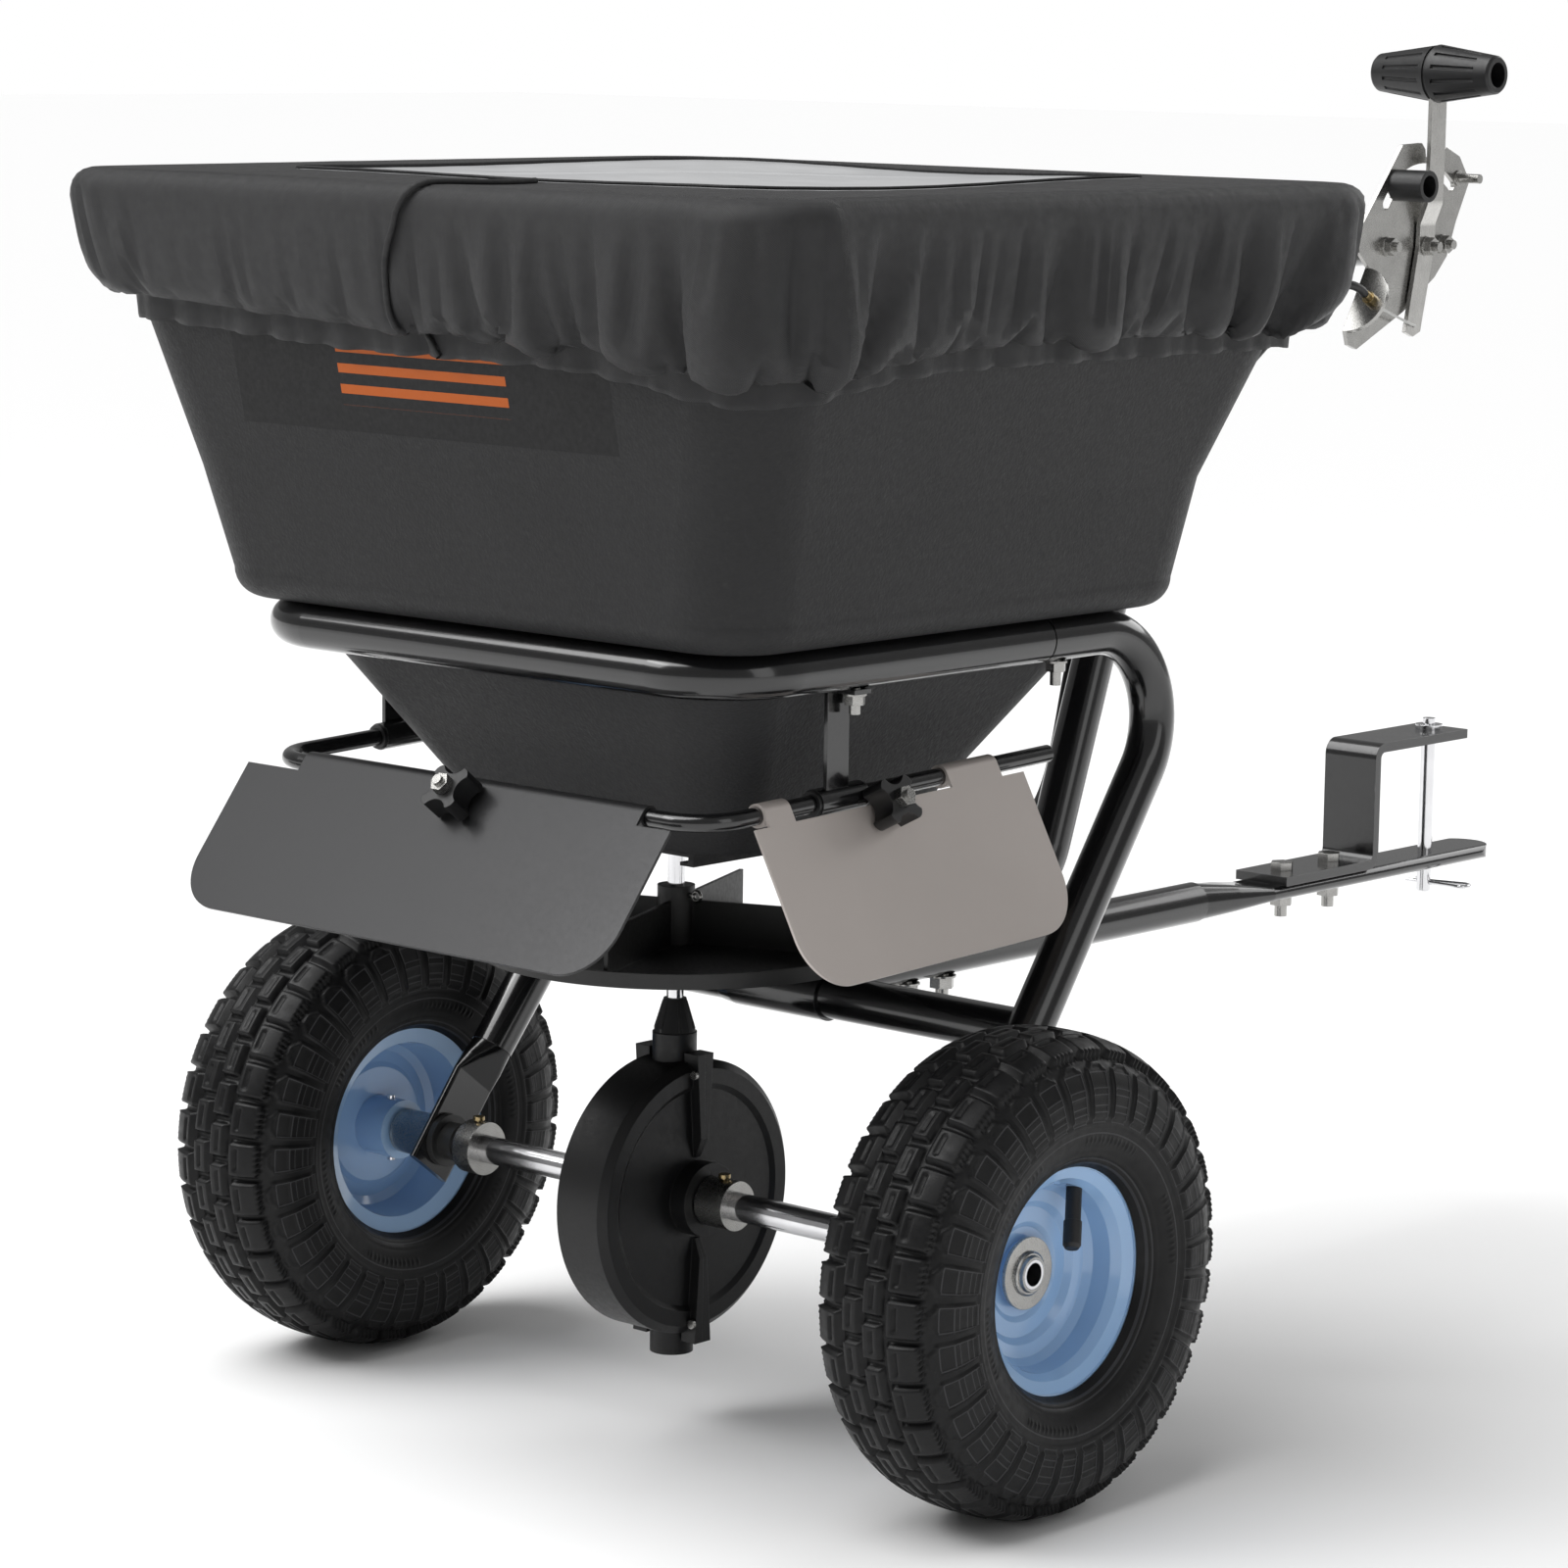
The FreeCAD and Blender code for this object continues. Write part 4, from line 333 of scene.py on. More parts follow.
def tyre_look(name):
    """Dark rubber with a matt bloom, dust in the low spots, and fine raised lines on the sidewall lugs."""
    look = Look(name)
    low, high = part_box("drive_tyre")
    middle_z = (low.z + high.z) / 2
    scale = (high.z - low.z) / 2 / TYRE_R
    xyz = look.node("ShaderNodeSeparateXYZ", Vector=look.where).outputs
    up = look.math("SUBTRACT", xyz["Z"], middle_z)
    squared = look.math("ADD", look.product(up, up), look.product(xyz["Y"], xyz["Y"]))
    radius = look.product(look.math("POWER", squared, 0.5), 1 / (MM * scale))
    turn = look.product(look.math("ARCTAN2", xyz["Y"], up), PITCHES / (2 * math.pi))
    sideways = look.math("SUBTRACT", look.math("ABSOLUTE", xyz["X"]), (abs(low.x) + abs(high.x)) / 2)
    outside = look.math("GREATER_THAN", look.product(sideways, look.math("SIGN", xyz["X"])), 0.0)
    # The angle can be negative, so whole turns are added before its fraction is taken.
    whole_turns = 100
    shifted = look.math("ADD", look.math("ADD", turn, whole_turns + LUG_SHIFT), look.product(outside, 0.5))
    across = look.off(look.math("FRACT", shifted), 0.5)
    in_lug = look.math("LESS_THAN", across, 0.335)
    on_sides = look.between(radius, 86.0, 113.0)
    lines = look.product(look.math("LESS_THAN", look.off(across, 0.32), 0.014), on_sides)
    for level in (86.6, 92.0, 95.5, 101.0, 104.5, 112.4):
        bar = look.product(look.math("LESS_THAN", look.off(radius, level), 0.32), in_lug)
        lines = look.math("MAXIMUM", lines, bar)
    for level in (63.8, 66.4, 80.6):
        lines = look.math("MAXIMUM", lines, look.math("LESS_THAN", look.off(radius, level), 0.4))
    base = look.mix(look.noise(30 * MM, 5), srgb(8, 8, 9), srgb(15, 15, 16))
    base = look.mix(look.range(look.noise(7 * MM, 4), 0.6, 0.8, 0.0, 0.25), base, srgb(28, 28, 27))
    # The raised sidewall lines, bars and rings are painted lighter: a painted highlight where the raised
    # rubber catches the light.
    look.set("Base Color", look.mix(look.product(lines, 0.5), base, srgb(74, 74, 76)))
    look.set("Roughness", look.range(look.noise(5 * MM), 0.3, 0.7, 0.36, 0.52))
    look.set("Specular IOR Level", 0.26)
    height = look.math("ADD", look.noise(0.9 * MM, 3), look.product(lines, 3.0))
    look.bump(height, 0.1 * MM, 0.5)
    return look


def make_looks():
    """Every look by the name of its slot in the record, and two that only the cover uses."""
    dark = srgb(13, 13, 14)
    zinc = srgb(186, 185, 182)
    looks = {
        "frame_black": coated("frame_black", dark, 0.2, coat=0.6, grain=2.2 * MM, depth=0.03 * MM,
                              wear=0.25, wear_colour=srgb(90, 90, 90)),
        "bracket_grey": coated("bracket_grey", srgb(15, 15, 16), 0.24, coat=0.5, grain=2.0 * MM,
                               depth=0.03 * MM, wear=0.4, wear_colour=srgb(120, 120, 120)),
        "zinc": brushed("zinc", scaled(zinc, 0.75), 0.26, spangle=0.5),
        "bright_pin": brushed("bright_pin", srgb(226, 226, 228), 0.14, (0.08, 1, 1)),
        "lever_steel": brushed("lever_steel", zinc, 0.28, (1, 1, 0.06), 0.4),
        "black_plastic": coated("black_plastic", srgb(20, 20, 21), 0.4, tone=0.15, grain=0.5 * MM,
                                depth=0.06 * MM),
        "brass": brushed("brass", srgb(164, 146, 108), 0.3),
        "wire_steel": brushed("wire_steel", srgb(170, 170, 168), 0.34),
        "hopper_plastic": hopper_look("hopper_plastic"),
        "cover_vinyl": cover_look("cover_vinyl"),
        # The deflector plates are one material: the side plate's pale warm grey is a painted reflection of
        # the bright studio, and the rear plate's dark grey a painted reflection of darker surroundings.
        "deflector_dark": coated("deflector_dark", srgb(45, 45, 46), 0.36, 0.5, 0.1, 0.05,
                                 1.4 * MM, 0.02 * MM),
        "deflector_light": coated("deflector_light", srgb(186, 178, 173), 0.34, 0.3, 0.0, 0.05,
                                  0.9 * MM, 0.008 * MM),
        "rim_blue": coated("rim_blue", srgb(150, 186, 226), 0.2, 0.0, 0.7, 0.04, 2.4 * MM, 0.02 * MM,
                           wear=0.15, wear_colour=srgb(226, 230, 236)),
        "tyre_rubber": tyre_look("tyre_rubber"),
        "valve_rubber": coated("valve_rubber", srgb(24, 24, 25), 0.5, grain=0.4 * MM, depth=0.05 * MM),
        "bush_grey": coated("bush_grey", srgb(38, 38, 38), 0.36, grain=0.4 * MM, depth=0.05 * MM),
        "case_black": coated("case_black", srgb(16, 16, 17), 0.42, specular=0.36, tone=0.1,
                             grain=0.7 * MM, depth=0.06 * MM),
        "gear_metal": brushed("gear_metal", srgb(120, 120, 120), 0.4),
        "impeller_plastic": coated("impeller_plastic", srgb(26, 26, 26), 0.42, tone=0.1,
                                   grain=0.8 * MM, depth=0.08 * MM),
    }
    looks["window"] = window_look("cover_window")
    looks["stitch"] = coated("stitch", srgb(30, 30, 31), 0.7, grain=0.3 * MM, depth=0.1 * MM)
    return looks


def dress_cad(looks):
    """Each carried-over CAD node gets the look named by its slot in the record."""
    for part in frame["record"]["subparts"]:
        thing = frame["nodes"][part["node"]]
        thing.data.materials.clear()
        thing.data.materials.append(looks[part["material_slot"]].mat)


# ---------------------------------------------------------------- mesh helpers

def mesh_object(name, points, faces, look, smooth=True):
    """A new object in the scene from points, faces and one look."""
    data = bpy.data.meshes.new(name)
    data.from_pydata([tuple(p) for p in points], [], [tuple(f) for f in faces])
    data.update()
    made = bpy.data.objects.new(name, data)
    bpy.context.scene.collection.objects.link(made)
    data.materials.append(look.mat)
    if smooth:
        data.polygons.foreach_set("use_smooth", [True] * len(data.polygons))
    return made


def sheet_faces(rows, columns, wrap_rows=False, wrap_columns=False):
    """Quads over a grid of rows x columns points, stored row by row."""
    r = np.arange(rows if wrap_rows else rows - 1)
    c = np.arange(columns if wrap_columns else columns - 1)
    rr, cc = np.meshgrid(r, c, indexing="ij")
    up = (rr + 1) % rows
    over = (cc + 1) % columns
    quads = np.stack([rr * columns + cc, rr * columns + over,
                      up * columns + over, up * columns + cc], -1)
    return quads.reshape(-1, 4).tolist()


def step(value, low, high):
    """Smooth rise from 0 below low to 1 above high."""
    t = np.clip((value - low) / (high - low), 0, 1)
    return t * t * (3 - 2 * t)


def cord(name, path, radius, look, closed=False, sides=8):
    """A round cord through the given points."""
    path = np.asarray(path, float)
    ahead = np.roll(path, -1, 0) - np.roll(path, 1, 0)
    if not closed:
        ahead[0] = path[1] - path[0]
        ahead[-1] = path[-1] - path[-2]
    ahead /= np.linalg.norm(ahead, axis=1)[:, None]
    side = np.cross(ahead, (0.13, 0.31, 0.94))
    side /= np.linalg.norm(side, axis=1)[:, None]
    top = np.cross(side, ahead)
    turn = np.linspace(0, 2 * math.pi, sides, endpoint=False)
    ring = np.cos(turn)[None, :, None] * side[:, None] + np.sin(turn)[None, :, None] * top[:, None]
    points = (path[:, None] + radius * ring).reshape(-1, 3)
    return mesh_object(name, points, sheet_faces(len(path), sides, closed, True), look)


# ---------------------------------------------------------------- tyres

def tyre_profile(centre_r, half):
    """Half cross-section from the crown to the bead: sideways, radius and length along it, in metres."""
    shape = ((0, 125.8), (13, 125.2), (25, 122.6), (34, 117), (40, 107), (42.4, 95), (42.0, 82),
             (38.5, 70), (33.5, 63.5), (29.6, 60.8))
    side = np.array([p[0] for p in shape]) * half / PROFILE_HALF
    radius = np.array([p[1] for p in shape]) * MM * centre_r / TYRE_R
    length = np.concatenate([[0], np.cumsum(np.hypot(np.diff(side * MM), np.diff(radius)))])
    return side * MM, radius, length


def spline(x, xs, ys):
    """Natural-looking smooth curve through points, by local cubic steps."""
    slopes = np.gradient(ys, xs)
    i = np.clip(np.searchsorted(xs, x) - 1, 0, len(xs) - 2)
    h = xs[i + 1] - xs[i]
    t = (x - xs[i]) / h
    a = 2 * t ** 3 - 3 * t ** 2 + 1
    b = t ** 3 - 2 * t ** 2 + t
    c = -2 * t ** 3 + 3 * t ** 2
    d = t ** 3 - t ** 2
    return a * ys[i] + b * h * slopes[i] + c * ys[i + 1] + d * h * slopes[i + 1]


def band(value, low, high, soft):
    """1 between low and high, falling to 0 over a soft edge inside them."""
    return step(value, low, low + soft) * (1 - step(value, high - soft, high))


def within(value, half, soft=0.045):
    """1 while value is under half, falling to 0 over a soft edge."""
    return 1 - step(value, half, half + soft)


def tread_relief(turn, side, radius):
    """How far the rubber stands out, in millimetres, at each turn (in pitches), side and radius (mm)."""
    wide = np.abs(side)
    hand = np.where(side > 0, 0.5, 0.0)
    # Tread: a row of centre blocks either side of the middle, and a row of shoulder blocks outside them.
    centre_at = np.abs((turn + hand) % 1 - 0.5)
    shoulder_at = np.abs((turn + hand + LUG_SHIFT) % 1 - 0.5)
    teeth = np.abs((turn * 7) % 1 - 0.5) * 3.4
    centre = band(wide, 0.7, 12.8, 1.1) * within(centre_at, 0.38)
    centre_slot = band(wide, 5.9, 7.7, 0.7) * within(centre_at, 0.22)
    shoulder = band(wide, 15.0, 31.5 + teeth, 1.3) * within(shoulder_at, 0.39)
    shoulder_nick = band(wide, 19.8, 21.4, 0.7) * within(shoulder_at, 0.24)
    blocks = 4.3 * np.maximum(centre, shoulder)
    cuts = 2.6 * np.maximum(centre_slot * centre, shoulder_nick * shoulder)
    tread = step(radius, 92.0, 100.0) * (blocks - cuts)
    # Sidewall: a lug below each shoulder block, with a sunk middle that holds fine bars.
    outside = (wide > 31) & (radius < 119.5)
    lug_top = 118.0 - 3.2 * step(shoulder_at, 0.1, 0.34)
    lug = band(radius, 88.0, lug_top, 2.0) * within(shoulder_at, 0.36) * outside
    sunk = band(radius, 90.0, lug_top - 2.2, 0.8) * within(shoulder_at, 0.31) * outside
    bars = np.zeros_like(radius)
    for level in (104.0, 101.0, 95.5, 92.5):
        bars = np.maximum(bars, band(radius, level - 0.7, level + 0.7, 0.5))
    # Rings and tick marks near the rim.
    rings = np.zeros_like(radius)
    for low, high, soft in ((84.4, 86.2, 0.7), (67.0, 68.6, 0.6), (64.2, 65.6, 0.5)):
        rings = rings + band(radius, low, high, soft)
    ticks = band(radius, 75.0, 79.0, 0.8) * (np.abs((turn * 4) % 1 - 0.5) < 0.22)
    ticks = ticks * (turn / PITCHES * 6 % 1 < 0.55)
    relief = tread + 1.5 * lug - 0.9 * sunk + 0.5 * bars * sunk
    return relief + (rings * 0.7 + ticks * 0.5) * (wide > 20)


def make_tyre(node, body, look):
    """A tyre as one sheet from bead to bead, with its tread and sidewall relief as geometry."""
    low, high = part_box(node)
    middle = (low + high) / 2
    half = (high.x - low.x) / 2 / MM
    side, radius, length = tyre_profile((high.z - low.z) / 2, half)
    along = np.linspace(-length[-1], length[-1], ACROSS)
    sideways = np.sign(along) * spline(np.abs(along), length, side)
    out = spline(np.abs(along), length, radius)
    normal_x = np.gradient(out, along)
    normal_r = np.gradient(sideways, along)
    size = np.hypot(normal_x, normal_r)
    normal_x, normal_r = -normal_x / size, normal_r / size
    turns = np.arange(PITCHES * STEPS_PER_PITCH) / STEPS_PER_PITCH
    grid_turn, grid_side = np.meshgrid(turns, sideways / MM, indexing="ij")
    _, grid_r = np.meshgrid(turns, out / MM, indexing="ij")
    relief = tread_relief(grid_turn, grid_side, grid_r) * MM
    x = middle.x + sideways[None] + relief * normal_x[None]
    r = out[None] + relief * normal_r[None]
    angle = grid_turn / PITCHES * 2 * math.pi
    y = middle.y + r * np.sin(angle)
    z = middle.z + r * np.cos(angle)
    points = np.stack([x, y, z], -1).reshape(-1, 3)
    tyre = mesh_object(node + "_tread", points, sheet_faces(len(turns), ACROSS, True, False), look)
    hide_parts(node)
    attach(tyre, body)


# ---------------------------------------------------------------- hopper cover

def rounded_outline(half_x, rear_y, front_y, corner, count):
    """Evenly spaced points round a rectangle with round corners, and their outward directions."""
    straight_x = 2 * (half_x - corner)
    straight_y = front_y - rear_y - 2 * corner
    arc = corner * math.pi / 2
    total = 2 * (straight_x + straight_y) + 4 * arc
    legs = (("line", straight_y), ("arc", arc), ("line", straight_x), ("arc", arc)) * 2
    corners = ((half_x - corner, front_y - corner), (-half_x + corner, front_y - corner),
               (-half_x + corner, rear_y + corner), (half_x - corner, rear_y + corner))
    points = []
    outward = []
    for k in range(count):
        left = (k / count) * total
        for i, (kind, length) in enumerate(legs):
            if left <= length or i == len(legs) - 1:
                break
            left -= length
        quarter = i // 2
        face = quarter * math.pi / 2
        centre = corners[quarter]
        if kind == "line":
            normal = (math.cos(face), math.sin(face))
            heading = (-normal[1], normal[0])
            back = length - left
            points.append((centre[0] + corner * normal[0] - heading[0] * back,
                           centre[1] + corner * normal[1] - heading[1] * back))
        else:
            angle = face + left / corner
            normal = (math.cos(angle), math.sin(angle))
            points.append((centre[0] + corner * normal[0], centre[1] + corner * normal[1]))
        outward.append(normal)
    return np.array(points), np.array(outward)


def cover_rows():
    """Rings from the middle of the top to the hem, each with its kind and its share of that kind."""
    rows = []
    for i in range(TOP_RINGS):
        share = 0.03 + 0.94 * (i / (TOP_RINGS - 1)) ** 0.85
        rows.append(("top", share))
    for i in range(EDGE_RINGS):
        rows.append(("edge", (i + 0.5) / EDGE_RINGS))
    for i in range(1, SKIRT_RINGS + 1):
        rows.append(("skirt", i / SKIRT_RINGS))
    return rows


def ripple(turn, folds, rng):
    """Round crests and sharp valleys, a whole number of times round the outline, from 0 to 1."""
    return np.abs(np.sin(folds / 2 * turn + rng.uniform(0, 2 * math.pi))) ** 0.8


def fold_wave(turn, slant):
    """The skirt's folds before the cloth settles: big loose ones with smaller ones between them."""
    rng = np.random.default_rng(11)
    leaning = turn + slant * (0.2 * np.sin(5 * turn + 1.0) + 0.1 * np.sin(11 * turn))
    wave = 0
    for height, folds in ((0.95, 24), (0.45, 38), (0.65, 14)):
        wave = wave + height * ripple(leaning, folds, rng)
    return wave - 1.25


def gather_wave(turn):
    """Close gathers along the elastic hem, from 0 to 1."""
    rng = np.random.default_rng(5)
    return 0.4 * ripple(turn, 74, rng) + 0.6 * ripple(turn, 46, rng)


def hopper_ring(z, grow, corner, count):
    """The hopper wall's outline at a height, grown outward a little."""
    low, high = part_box("hopper")
    share = (z - low.z) / (high.z - low.z)
    # From the crease above the neck, 0.557 of the way up, to the rim the walls flare in straight lines.
    crease_and_rim = (0.557, 1.0)
    half = high.x * float(np.interp(share, crease_and_rim, (0.798, 0.974))) + grow
    front = high.y * float(np.interp(share, crease_and_rim, (0.751, 0.975))) + grow
    rear = low.y * float(np.interp(share, crease_and_rim, (0.823, 0.969))) - grow
    return rounded_outline(half, rear, front, corner, count)


def cover_fullness(outline, outward):
    """How gathered the skirt is at each column: nearly flat along the rear wall's left half."""
    rear_left = (outward[:, 1] < -0.5) * (1 - step(outline[:, 0], -50 * MM, 70 * MM))
    front = outward[:, 1] > 0.3
    smooth = np.hanning(25) / np.hanning(25).sum()
    loose = 1 - 0.85 * rear_left - 0.6 * front
    return np.convolve(np.tile(loose, 3), smooth, "same")[AROUND:2 * AROUND]


def cover_points(outline, outward, rim_z, hem_z):
    """The cover as it is laid on: flat top, rolled edge, full skirt tucked in to a gathered hem band."""
    turn = 2 * math.pi * np.arange(AROUND) / AROUND
    middle = outline.mean(0)
    near_corner = np.array([outline[:, 0].max(), outline[:, 1].min()])
    from_corner = np.linalg.norm(outline - near_corner, axis=1)
    droop = CORNER_DROOP * np.exp(-(from_corner / CORNER_REACH) ** 2)
    lifted = LEFT_LIFT * step(-outline[:, 0], 0.0, 280 * MM)
    seam_z = hem_z + BAND - droop + lifted
    drop = rim_z - EDGE_R - seam_z
    fullness = cover_fullness(outline, outward)
    gathers = gather_wave(turn)
    wall, wall_out = hopper_ring(hem_z + BAND, 2 * MM, WALL_CORNER_R, AROUND)
    rows = []
    for kind, value in cover_rows():
        if kind == "top":
            flat = middle + (outline - outward * EDGE_R - middle) * value
            billow = np.sin(flat[:, 0] * 21 + 1) * np.sin(flat[:, 1] * 17 + 2) * (1 - value ** 4)
            pull = np.sin(turn * 34) * value ** 8 * (1 - value) * 4
            z = rim_z + 1.8 * MM * billow + 1.2 * MM * pull
        elif kind == "edge":
            a = value * math.pi / 2
            flat = outline - outward * EDGE_R * (1 - math.sin(a))
            z = np.full(AROUND, rim_z - EDGE_R * (1 - math.cos(a)))
        elif value <= SEAM_SHARE:
            t = value / SEAM_SHARE
            a = t * math.pi / 2
            fold = fold_wave(turn, t) * fullness * math.sin(math.pi * min(t * 0.72, 1)) * FOLD
            out = fold + BULGE * math.sin(math.pi * t)
            lean = 0.3 * (1 - math.cos(a)) + 0.7 * t
            flat = outline * (1 - lean) + wall * lean + outward * out[:, None]
            flat = flat + wall_out * (gathers * GATHER * t ** 2)[:, None]
            z = rim_z - EDGE_R - drop * math.sin(a) - np.maximum(fold, 0) * 0.7 * t
        else:
            t = (value - SEAM_SHARE) / (1 - SEAM_SHARE)
            out = gathers * GATHER * (1 + 0.5 * t) - 3 * MM * t
            flat = wall + wall_out * out[:, None]
            z = seam_z - BAND * t - gathers * 2 * MM * t
        rows.append(np.column_stack([flat, z]))
    return np.array(rows)


def hopper_form(top_z):
    """A closed stand-in for the hopper's upper box, for the cloth to fall on."""
    low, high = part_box("hopper")
    rings = []
    for share in (0.36, 0.56, 1.0):
        z = low.z + share * (high.z - low.z)
        outline, _ = hopper_ring(z, 0.5 * MM, 45 * MM, FORM_POINTS)
        rings.append(np.column_stack([outline, np.full(FORM_POINTS, min(z, top_z))]))
    points = np.array(rings).reshape(-1, 3)
    faces = sheet_faces(len(rings), FORM_POINTS, False, True)
    faces.append(list(range(FORM_POINTS))[::-1])
    faces.append(list(range(2 * FORM_POINTS, 3 * FORM_POINTS)))
    data = bpy.data.meshes.new("hopper_form")
    data.from_pydata(points.tolist(), [], faces)
    form = bpy.data.objects.new("hopper_form", data)
    bpy.context.scene.collection.objects.link(form)
    return form


def settle_cloth(cloth, form, pin_group, size_group):
    """Lets the skirt, cut a little too full, settle between the rim and the gathered hem.

    pin_group holds points in place; size_group says how far each point keeps its cut size.
    """
    form.modifiers.new("Collision", "COLLISION")
    form.collision.thickness_outer = 1.6 * MM
    form.collision.cloth_friction = 8
    mod = cloth.modifiers.new("Cloth", "CLOTH")
    s = mod.settings
    s.quality = 6
    s.mass = 0.5
    s.tension_stiffness = 18
    s.compression_stiffness = 18
    s.shear_stiffness = 6
    s.bending_stiffness = 0.9
    s.air_damping = 2
    s.vertex_group_mass = pin_group
    s.pin_stiffness = 1
    s.vertex_group_shrink = size_group
    s.shrink_min = -SLACK
    s.shrink_max = 0.0
    mod.collision_settings.collision_quality = 3
    mod.collision_settings.distance_min = 1.5 * MM
    mod.collision_settings.use_self_collision = False
    mod.point_cache.frame_start = 1
    mod.point_cache.frame_end = SETTLE_FRAMES
    scene = bpy.context.scene
    for f in range(1, SETTLE_FRAMES + 1):
        scene.frame_set(f)
    graph = bpy.context.evaluated_depsgraph_get()
    settled = cloth.evaluated_get(graph).to_mesh()
    points = np.zeros(len(settled.vertices) * 3)
    settled.vertices.foreach_get("co", points)
    cloth.modifiers.remove(mod)
    scene.frame_set(1)
    bpy.data.objects.remove(form)
    return points.reshape(-1, 3)


def hold_cloth(cover, fullness):
    """Pins the top, part of the rolled edge and the hem band, and lets only full columns grow."""
    pinned = cover.vertex_groups.new(name="pinned")
    kept = cover.vertex_groups.new(name="kept_size")
    for i, (kind, value) in enumerate(cover_rows()):
        hold = 1.0
        if kind == "edge":
            hold = 1 - 0.8 * value
        if kind == "skirt":
            hold = float(step(np.array(value), SEAM_SHARE - 0.08, SEAM_SHARE + 0.02))
        if hold > 0:
            pinned.add(list(range(i * AROUND, (i + 1) * AROUND)), hold, "REPLACE")
        for k in range(AROUND):
            firm = 1.0
            if kind == "skirt":
                firm = max(hold, 1 - fullness[k] * min(1.0, 4 * value))
            kept.add([i * AROUND + k], float(firm), "REPLACE")
    return pinned.name, kept.name


def make_cover(looks):
    """The fitted cloth cover: laid over the hopper, settled by simulation, then given its thickness."""
    low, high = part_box("hopper_cover")
    outline, outward = rounded_outline(high.x + PROUD, low.y - PROUD, high.y - 1 * MM,
                                       RIM_CORNER_R, AROUND)
    rows = cover_points(outline, outward, high.z + 2 * MM, low.z)
    points = rows.reshape(-1, 3)
    faces = sheet_faces(len(rows), AROUND, False, True)
    cover = mesh_object("cover_cloth", points, faces, looks["cover_vinyl"])
    pin_group, size_group = hold_cloth(cover, cover_fullness(outline, outward))
    form = hopper_form(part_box("hopper")[1].z - 1 * MM)
    points = settle_cloth(cover, form, pin_group, size_group)
    cover.data.vertices.foreach_set("co", points.reshape(-1))
    grid = points.reshape(len(rows), AROUND, 3)
    paint_cover(cover, grid, looks)
    thicken = cover.modifiers.new("Cloth thickness", "SOLIDIFY")
    thicken.thickness = CLOTH_THICK
    thicken.offset = 1
    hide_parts("hopper_cover")
    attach(cover, "frame")
    make_cover_trim(grid, looks)


def paint_cover(cover, grid, looks):
    """Lays the weave along the cloth, gives the middle the window's look and closes the top."""
    around = np.concatenate([[0], np.cumsum(np.linalg.norm(np.diff(grid[TOP_RINGS], axis=0), axis=1))])
    down = np.concatenate([[0], np.cumsum(np.linalg.norm(np.diff(grid[:, 0], axis=0), axis=1))])
    mesh = cover.data
    uv = mesh.uv_layers.new(name="UVMap")
    loops = np.zeros(len(mesh.loops), int)
    mesh.loops.foreach_get("vertex_index", loops)
    row = loops // AROUND
    column = loops % AROUND
    flat = np.column_stack([around[column], down[row]])
    top = row < TOP_RINGS
    place = grid.reshape(-1, 3)[loops]
    flat[top] = place[top][:, :2]
    uv.data.foreach_set("uv", flat.reshape(-1))
    mesh.materials.append(looks["window"].mat)
    index = np.zeros(len(mesh.polygons), int)
    rows = cover_rows()
    for face in range(len(mesh.polygons)):
        kind, value = rows[face // AROUND]
        if kind == "top" and value < WINDOW_SHARE:
            index[face] = 1
    mesh.polygons.foreach_set("material_index", index)
    edit = bmesh.new()
    edit.from_mesh(mesh)
    middle = edit.verts.new(grid[0].mean(0))
    edit.verts.ensure_lookup_table()
    for i in range(AROUND):
        wedge = edit.faces.new([edit.verts[(i + 1) % AROUND], edit.verts[i], middle])
        wedge.material_index = 1
        wedge.smooth = True
    edit.to_mesh(mesh)
    edit.free()


def calmed(path, reach=4):
    """A closed path with its small wobbles averaged away."""
    return sum(np.roll(path, k, 0) for k in range(-reach, reach + 1)) / (2 * reach + 1)


def cord_way(grid, first_row):
    """The draw cord's path: from the window's seam over the edge and down the skirt, near the middle."""
    rim = grid[TOP_RINGS]
    cord_x = 22 * MM
    # Of the two columns at this x, the front one is passed over by making it seem far off.
    start = int(np.argmin(np.abs(rim[:, 0] - cord_x) + (rim[:, 1] > 0) * 9))
    way = []
    for i, row in enumerate(range(first_row, len(grid))):
        along = i / (len(grid) - first_row - 1)
        column = start + 5 * math.cos(math.pi * 1.6 * along)
        before = int(column)
        share = column - before
        way.append(grid[row, before] * (1 - share) + grid[row, before + 1] * share)
    return np.array(way) + np.array([0, -2.0, 1.2]) * MM


def make_cover_trim(grid, looks):
    """A piping round the window, a seam above the hem band, and the draw cord."""
    in_window = [i for i, (kind, v) in enumerate(cover_rows()) if kind == "top" and v < WINDOW_SHARE]
    window_row = max(in_window) + 1
    hem_row = TOP_RINGS + EDGE_RINGS + int(SKIRT_RINGS * SEAM_SHARE)
    piping_way = calmed(grid[window_row]) + np.array([0, 0, 1.1 * MM])
    outward = grid[hem_row] - grid[hem_row].mean(0)
    outward[:, 2] = 0
    outward /= np.linalg.norm(outward, axis=1)[:, None]
    seam_way = grid[hem_row] + outward * CLOTH_THICK
    stitch = looks["stitch"]
    trim = (cord("cover_window_piping", piping_way, 0.9 * MM, stitch, True),
            cord("cover_hem_seam", seam_way, 0.7 * MM, stitch, True),
            cord("cover_draw_cord", cord_way(grid, window_row + 1), 1.7 * MM, stitch))
    for piece in trim:
        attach(piece, "frame")


# ---------------------------------------------------------------- studio and camera

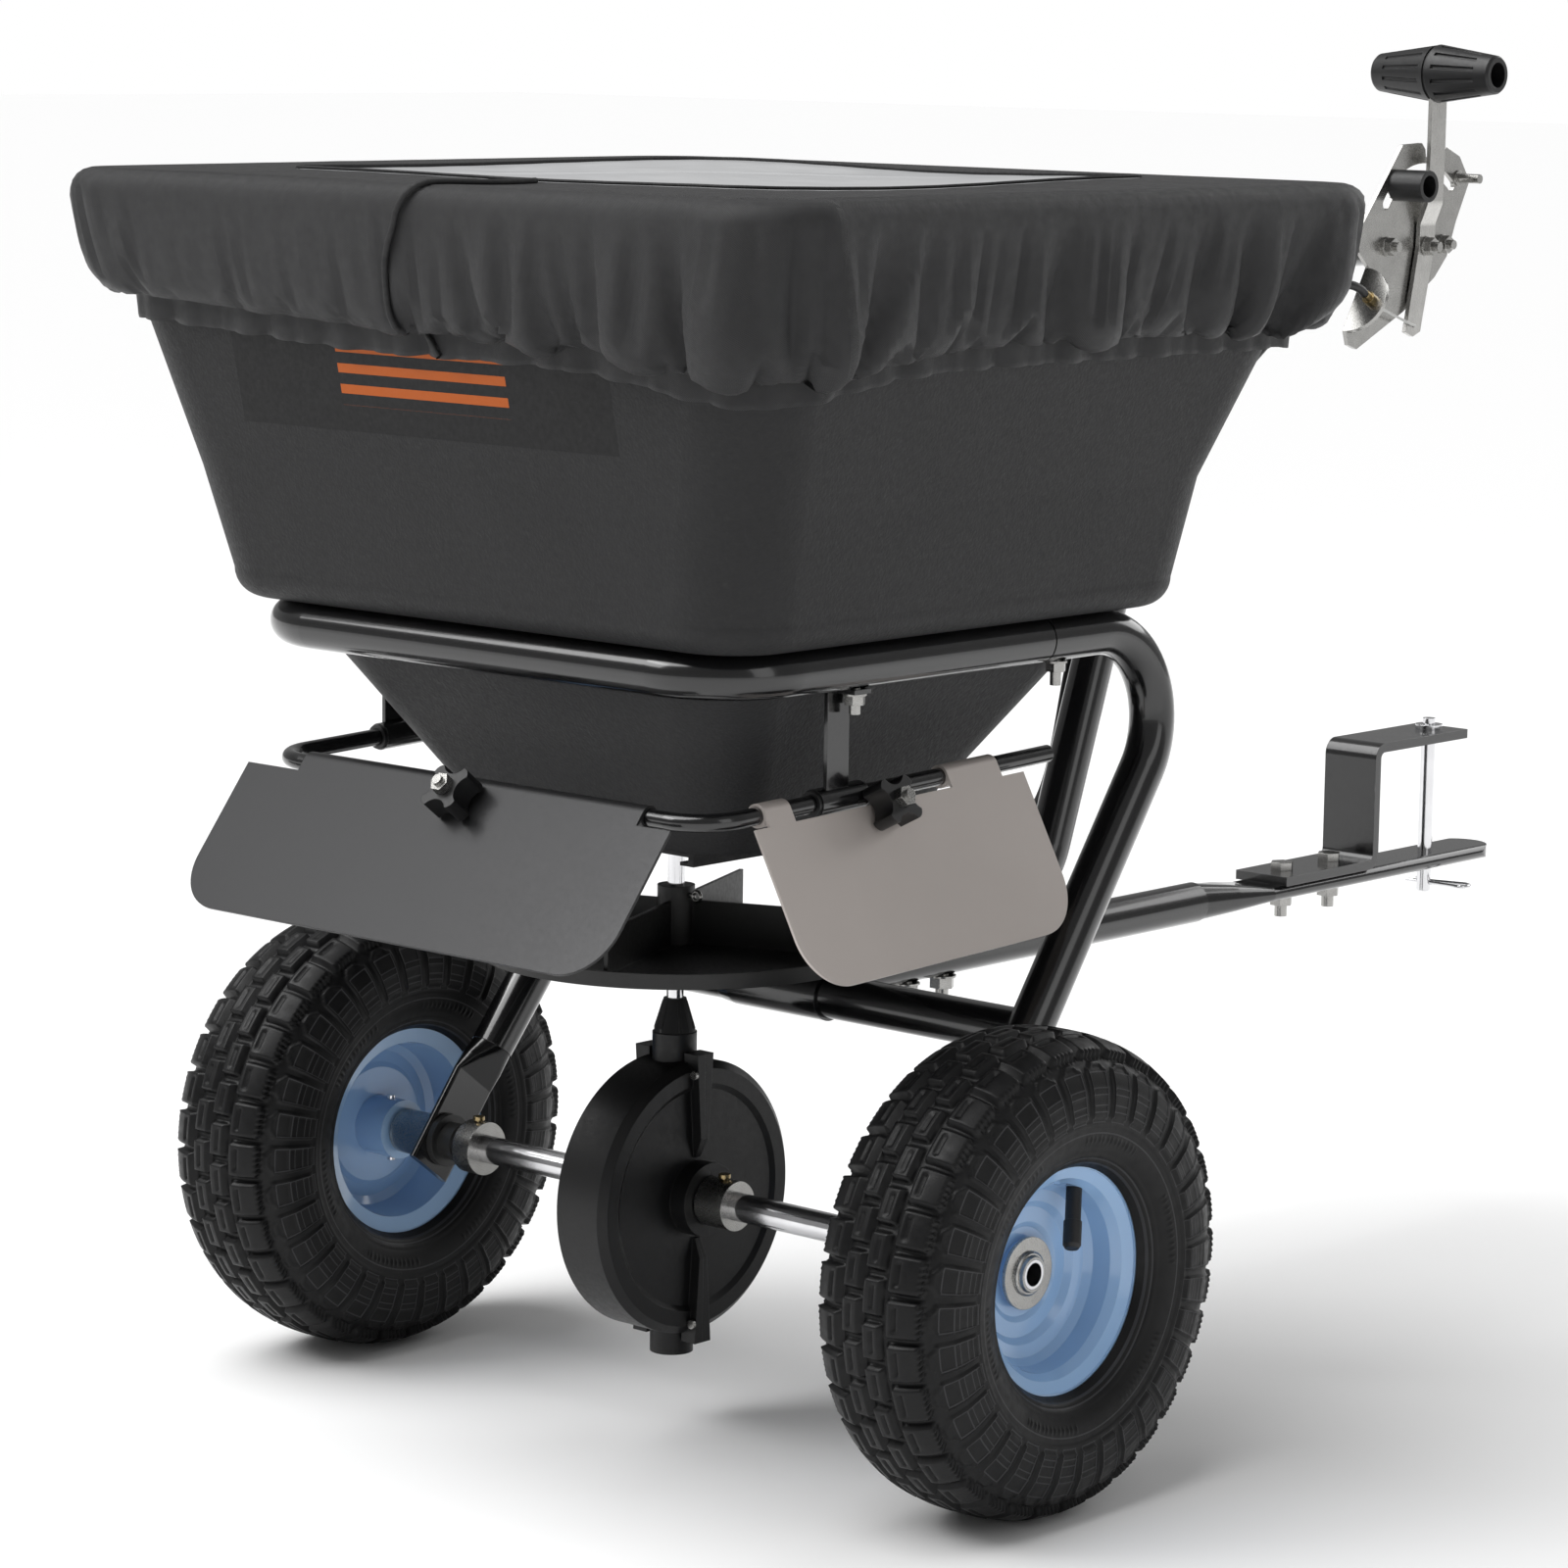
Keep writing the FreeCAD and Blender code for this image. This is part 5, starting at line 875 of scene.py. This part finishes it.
def make_studio():
    """White surroundings, a white floor, three lamps and a soft sun."""
    world = bpy.context.scene.world or bpy.data.worlds.new("World")
    bpy.context.scene.world = world
    world.use_nodes = True
    tree = world.node_tree
    sky = tree.nodes["Background"]
    sky.inputs["Color"].default_value = (1, 1, 1, 1)
    path = tree.nodes.new("ShaderNodeLightPath")
    power = tree.nodes.new("ShaderNodeMapRange")
    power.inputs["To Min"].default_value = WORLD_LIGHT
    power.inputs["To Max"].default_value = 1.0
    tree.links.new(path.outputs["Is Camera Ray"], power.inputs["Value"])
    tree.links.new(power.outputs["Result"], sky.inputs["Strength"])
    bpy.context.scene.view_settings.view_transform = "Standard"
    floor_look = Look("studio_floor")
    floor_look.set("Base Color", (0.9, 0.9, 0.9, 1))
    floor_look.set("Roughness", 0.8)
    size = 30.0
    corners = [(-size, -size, 0), (size, -size, 0), (size, size, 0), (-size, size, 0)]
    floor = mesh_object("studio_floor", corners, [(0, 1, 2, 3)], floor_look, False)
    for name, spot, aim, wide, high, watts in LAMPS:
        light = bpy.data.lights.new(name, "AREA")
        light.shape = "RECTANGLE"
        light.size = wide
        light.size_y = high
        light.energy = watts
        add_lamp(name, light, spot, aim)
    day = bpy.data.lights.new("overhead", "SUN")
    day.energy = SUN_LIGHT
    day.angle = math.radians(55)
    add_lamp("overhead", day, (-0.7, -0.9, 2.4), (0, 0, 0))


def add_lamp(name, light, spot, aim):
    """Puts a light at a spot, shining towards its aim."""
    lamp = bpy.data.objects.new(name, light)
    lamp.location = spot
    away = Vector(aim) - Vector(spot)
    lamp.rotation_euler = away.to_track_quat("-Z", "Y").to_euler()
    bpy.context.scene.collection.objects.link(lamp)


def make_camera():
    """A long lens standing behind the spreader, to its right and a little above the hopper's rim."""
    heading = math.radians(CAMERA_HEADING)
    dip = math.radians(CAMERA_DIP)
    lean = math.radians(CAMERA_LEAN)
    level = math.cos(dip)
    ahead = Vector((-math.sin(heading) * level, math.cos(heading) * level, -math.sin(dip)))
    right = Vector((math.cos(heading), math.sin(heading), 0))
    up = right.cross(ahead)
    tilted_right = right * math.cos(lean) + up * math.sin(lean)
    tilted_up = up * math.cos(lean) - right * math.sin(lean)
    lens = bpy.data.cameras.new("photo_view")
    lens.sensor_width = 36
    lens.lens = CAMERA_LENS
    lens.clip_end = 100
    camera = bpy.data.objects.new("photo_view", lens)
    turned = Matrix((tilted_right, tilted_up, -ahead)).transposed().to_4x4()
    camera.matrix_world = Matrix.Translation(Vector(CAMERA_AT)) @ turned
    bpy.context.scene.collection.objects.link(camera)
    bpy.context.scene.camera = camera


# ---------------------------------------------------------------- the scene

looks = make_looks()
dress_cad(looks)
make_tyre("drive_tyre", "drive_axle", looks["tyre_rubber"])
make_tyre("free_tyre", "free_wheel", looks["tyre_rubber"])
make_cover(looks)
make_studio()
make_camera()
